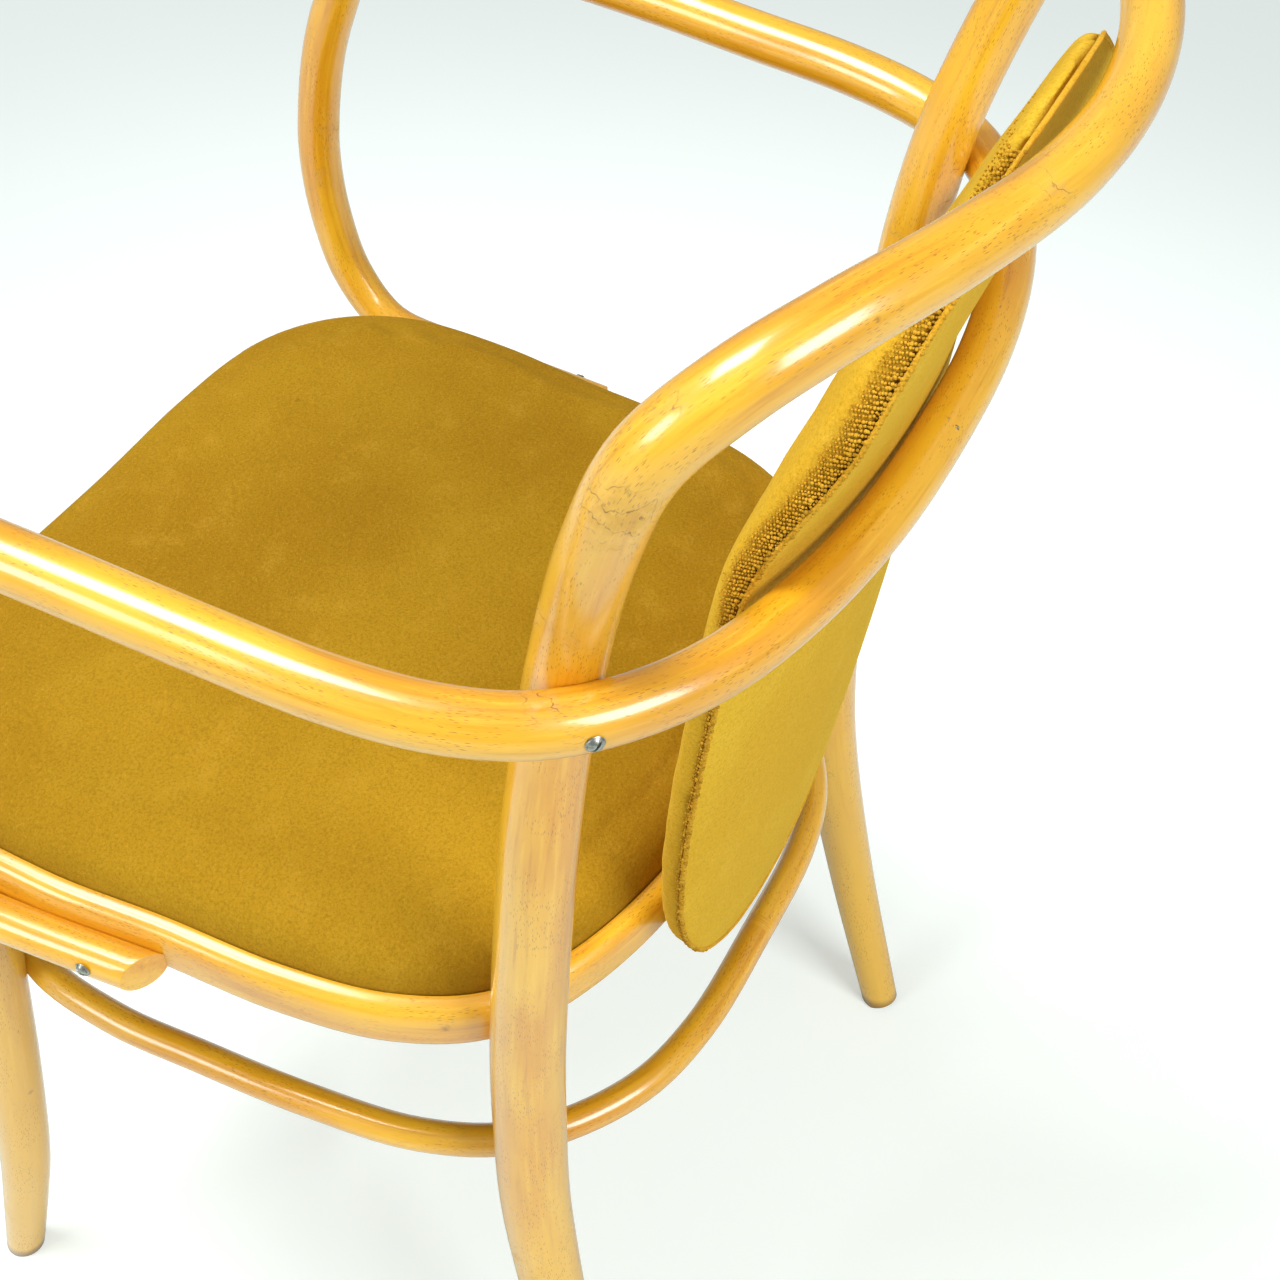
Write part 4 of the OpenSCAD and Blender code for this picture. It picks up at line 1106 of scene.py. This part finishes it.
store(pile, "worn", np.concatenate(shades))
grow(pile, tufts.tree, Thing=tuft, Finish=pile_velvet, Smallest=0.8, Largest=1.15, Tilt=0.3,
     Seed=7)
bpy.data.objects.remove(tuft)

cord_a = np.linspace(0, 2 * math.pi, 360, endpoint=False)
cord_at = flank(cord_a, 0)[0] / MM
cord_d = CORD_D * (1 + 0.08 * np.sin(cord_a * 37) * np.sin(cord_a * 11))
cord = bend_rod("cord", np.column_stack([cord_at, cord_d]), 10, pile_velvet, closed=True)
with_bmesh(pile, lambda bm: bm.from_mesh(cord.data))
bpy.data.objects.remove(cord)
dress(pile, pile_velvet)
pile.data.polygons.foreach_set("material_index", [0] * len(pile.data.polygons))
shade_smooth(pile)
print("pile: %d tufts, %d faces" % (len(spots), len(pile.data.polygons)))

# %% Crushed velvet and painted shade round the pile
place = positions(back_front)
depth, place = seam_depth(place), place / MM
width = band_width(place[:, 2])
# the front cover is darker round the loops: painted shade in the gaps between them, over pile
# that is flattened there
worn = 0.4 * step_up(width + 1 - depth, 0, 8) * step_up(place[:, 0], 20, 60) * (depth > -2)
store(back_front, "worn", worn)
print("crushed points: %d" % int((worn > 0.1).sum()))

# %% [markdown]
# ## The cloth under the seat
# A thin black cloth closes the underside of the seat pad. It is tacked flat and sags
# a little between its edges.

# %% Base cloth
CLOTH_INSET, CLOTH_DROP, CLOTH_SAG, CLOTH_T = RING_W + 1.0, 0.2, 1.6, 0.7

black_cloth, t, shader, room = new_material("black_base_cloth")
weave = t.math(*(t.wave(room, 420.0, axis) for axis in ("X", "Y")))
t.feed(shader, {
    "Base Color": t.layers(srgb(30, 29, 28), (weave, srgb(64, 62, 58))), "Roughness": 0.9,
    "Normal": t.bump(weave, 0.3, 0.0003)})

cloth_line = outline - outward(outline) * CLOTH_INSET
cloth_rings = [seat_loop(cloth_line * s, -RABBET - CLOTH_DROP - CLOTH_SAG * (1 - s**2))
               for s in np.linspace(0.03, 1, 24)]
under = [ring - np.array([0, 0, CLOTH_T * MM]) for ring in cloth_rings[::-1]]
base_cloth = pad_mesh("base_cloth", cloth_rings + under)
shade_smooth(base_cloth)
edges_sharp(base_cloth, 50)
dress(base_cloth, black_cloth)

# %% [markdown]
# ## Plywood boards
# Both boards stay as the frame has them and only get plies and a plain finish.

# %% Plywood
ply, t, shader, room = new_material("beech_plywood")
grain, plies = t.noise(room, (14, 220, 220), 4, 0.6), t.wave(room, 210.0, "Z")
t.feed(shader, {
    "Base Color": t.layers(srgb(214, 178, 122), (grain, srgb(186, 144, 88)),
                           (t.math(plies, 0.25), srgb(150, 108, 60))),
    "Roughness": 0.7})
for node in ("seat_board", "back_board"):
    dress(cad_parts[node], ply)

# %% [markdown]
# ## Light and floor
# The studio is bright and soft. One lamp stands like a window on the chair's left,
# towards its front, a second hangs high over it, and the largest stands behind it.
# The white room fills the shadows. Where the camera sees the room itself, it is
# plain near white, and the floor is lifted towards that white for the camera alone,
# less so farther away, so that it keeps the chair's soft shadow.

# %% World, lamps and floor
ROOM_WHITE, ROOM_LIGHT = srgb(246, 250, 246), 0.32
LAMPS = [("window_lamp", (3.4, -2.1, 2.2), 1.5, 62), ("ceiling_lamp", (0.7, -1.3, 4.2), 1.7, 135),
         ("rear_lamp", (1.2, 4.0, 3.4), 2.2, 180)]
LAMPS_AIM = (0, 0, 0.5)
world = bpy.data.worlds.new("room")
scene.world = world
world.use_nodes = True
t = Nodes(world.node_tree)
t.tree.nodes.clear()
ray = t.add("ShaderNodeLightPath")
seen = t.math(ray["Is Camera Ray"], ray["Is Transmission Ray"], "MAXIMUM")
lit = t.add("ShaderNodeBackground", {"Color": (1, 1, 1, 1), "Strength": ROOM_LIGHT})[0]
plain = t.add("ShaderNodeBackground", {"Color": ROOM_WHITE, "Strength": 1.0})[0]
both = t.add("ShaderNodeMixShader", {0: seen, 1: lit, 2: plain})[0]
t.add("ShaderNodeOutputWorld", {"Surface": both})

for name, at, size, watts in LAMPS:
    data = bpy.data.lights.new(name, "AREA")
    data.shape, data.size, data.energy = "SQUARE", size, watts
    lamp = bpy.data.objects.new(name, data)
    scene.collection.objects.link(lamp)
    lamp.location = at
    lamp.rotation_mode = "QUATERNION"
    lamp.rotation_quaternion = (Vector(LAMPS_AIM) - Vector(at)).to_track_quat("-Z", "Y")

FLOOR_HALF = 9
FLOOR_LIFT, FAR_LIFT, LIFT_NEAR, LIFT_FAR = 0.42, 0.16, 0.5, 1.7
floor = mesh_piece("floor", [(x * FLOOR_HALF, y * FLOOR_HALF, 0) for x, y in
                             ((-1, -1), (1, -1), (1, 1), (-1, 1))], [(0, 1, 2, 3)])
pale_floor, t, shader, room = new_material("pale_floor")
away = t.add("ShaderNodeVectorMath", {0: room}, operation="LENGTH")["Value"]
lift = t.between(away, LIFT_NEAR, LIFT_FAR, FLOOR_LIFT, FAR_LIFT)
t.feed(shader, {
    "Base Color": t.layers(srgb(204, 213, 210), (t.noise(room, 1.6), srgb(211, 219, 216)),
                           (t.between(away, LIFT_NEAR, LIFT_FAR), srgb(196, 205, 202))),
    "Roughness": 0.85, "Specular IOR Level": 0.2, "Emission Color": ROOM_WHITE,
    "Emission Strength": t.math(t.add("ShaderNodeLightPath")["Is Camera Ray"], lift)})
dress(floor, pale_floor)
floor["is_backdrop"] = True

# %% [markdown]
# ## What rides on what
# The chair has no joints, so every piece rides on the one body. Each new piece names
# the frame's pieces that it stands for and the finish that it takes.

# %% Fit the pieces to the frame
FITTED = [
    (back_bow, "beech", ["back_bow"]), (arm_bow, "beech", ["arm_bow"]),
    (seat_ring, "beech", ["seat_ring"]), (leg_ring, "beech", ["leg_ring"]),
    (front_legs[0], "pale_beech", ["front_leg_left"]),
    (front_legs[1], "pale_beech", ["front_leg_right"]),
    (seat_pad, "velvet", ["seat_cover", "seat_foam"]),
    (back_front, "velvet", ["back_front_cover", "back_foam"]),
    (back_rear, "velvet", ["back_rear_cover", "back_rear_padding"]),
    (pile, "pile", ["back_seam"]), (base_cloth, "base_cloth", ["seat_base_cloth"])]
FITTED += [(piece, "screw_steel", [node]) for node, piece in screw_pieces.items()]
for piece, finish, nodes in FITTED:
    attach(piece, "root")
    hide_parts(*nodes)

# %% Size of the model beside the frame's
sizes = {"cad": [list(corner) for corner in cad_box],
         "visual": [list(corner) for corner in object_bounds()]}
print("sizes:", sizes)
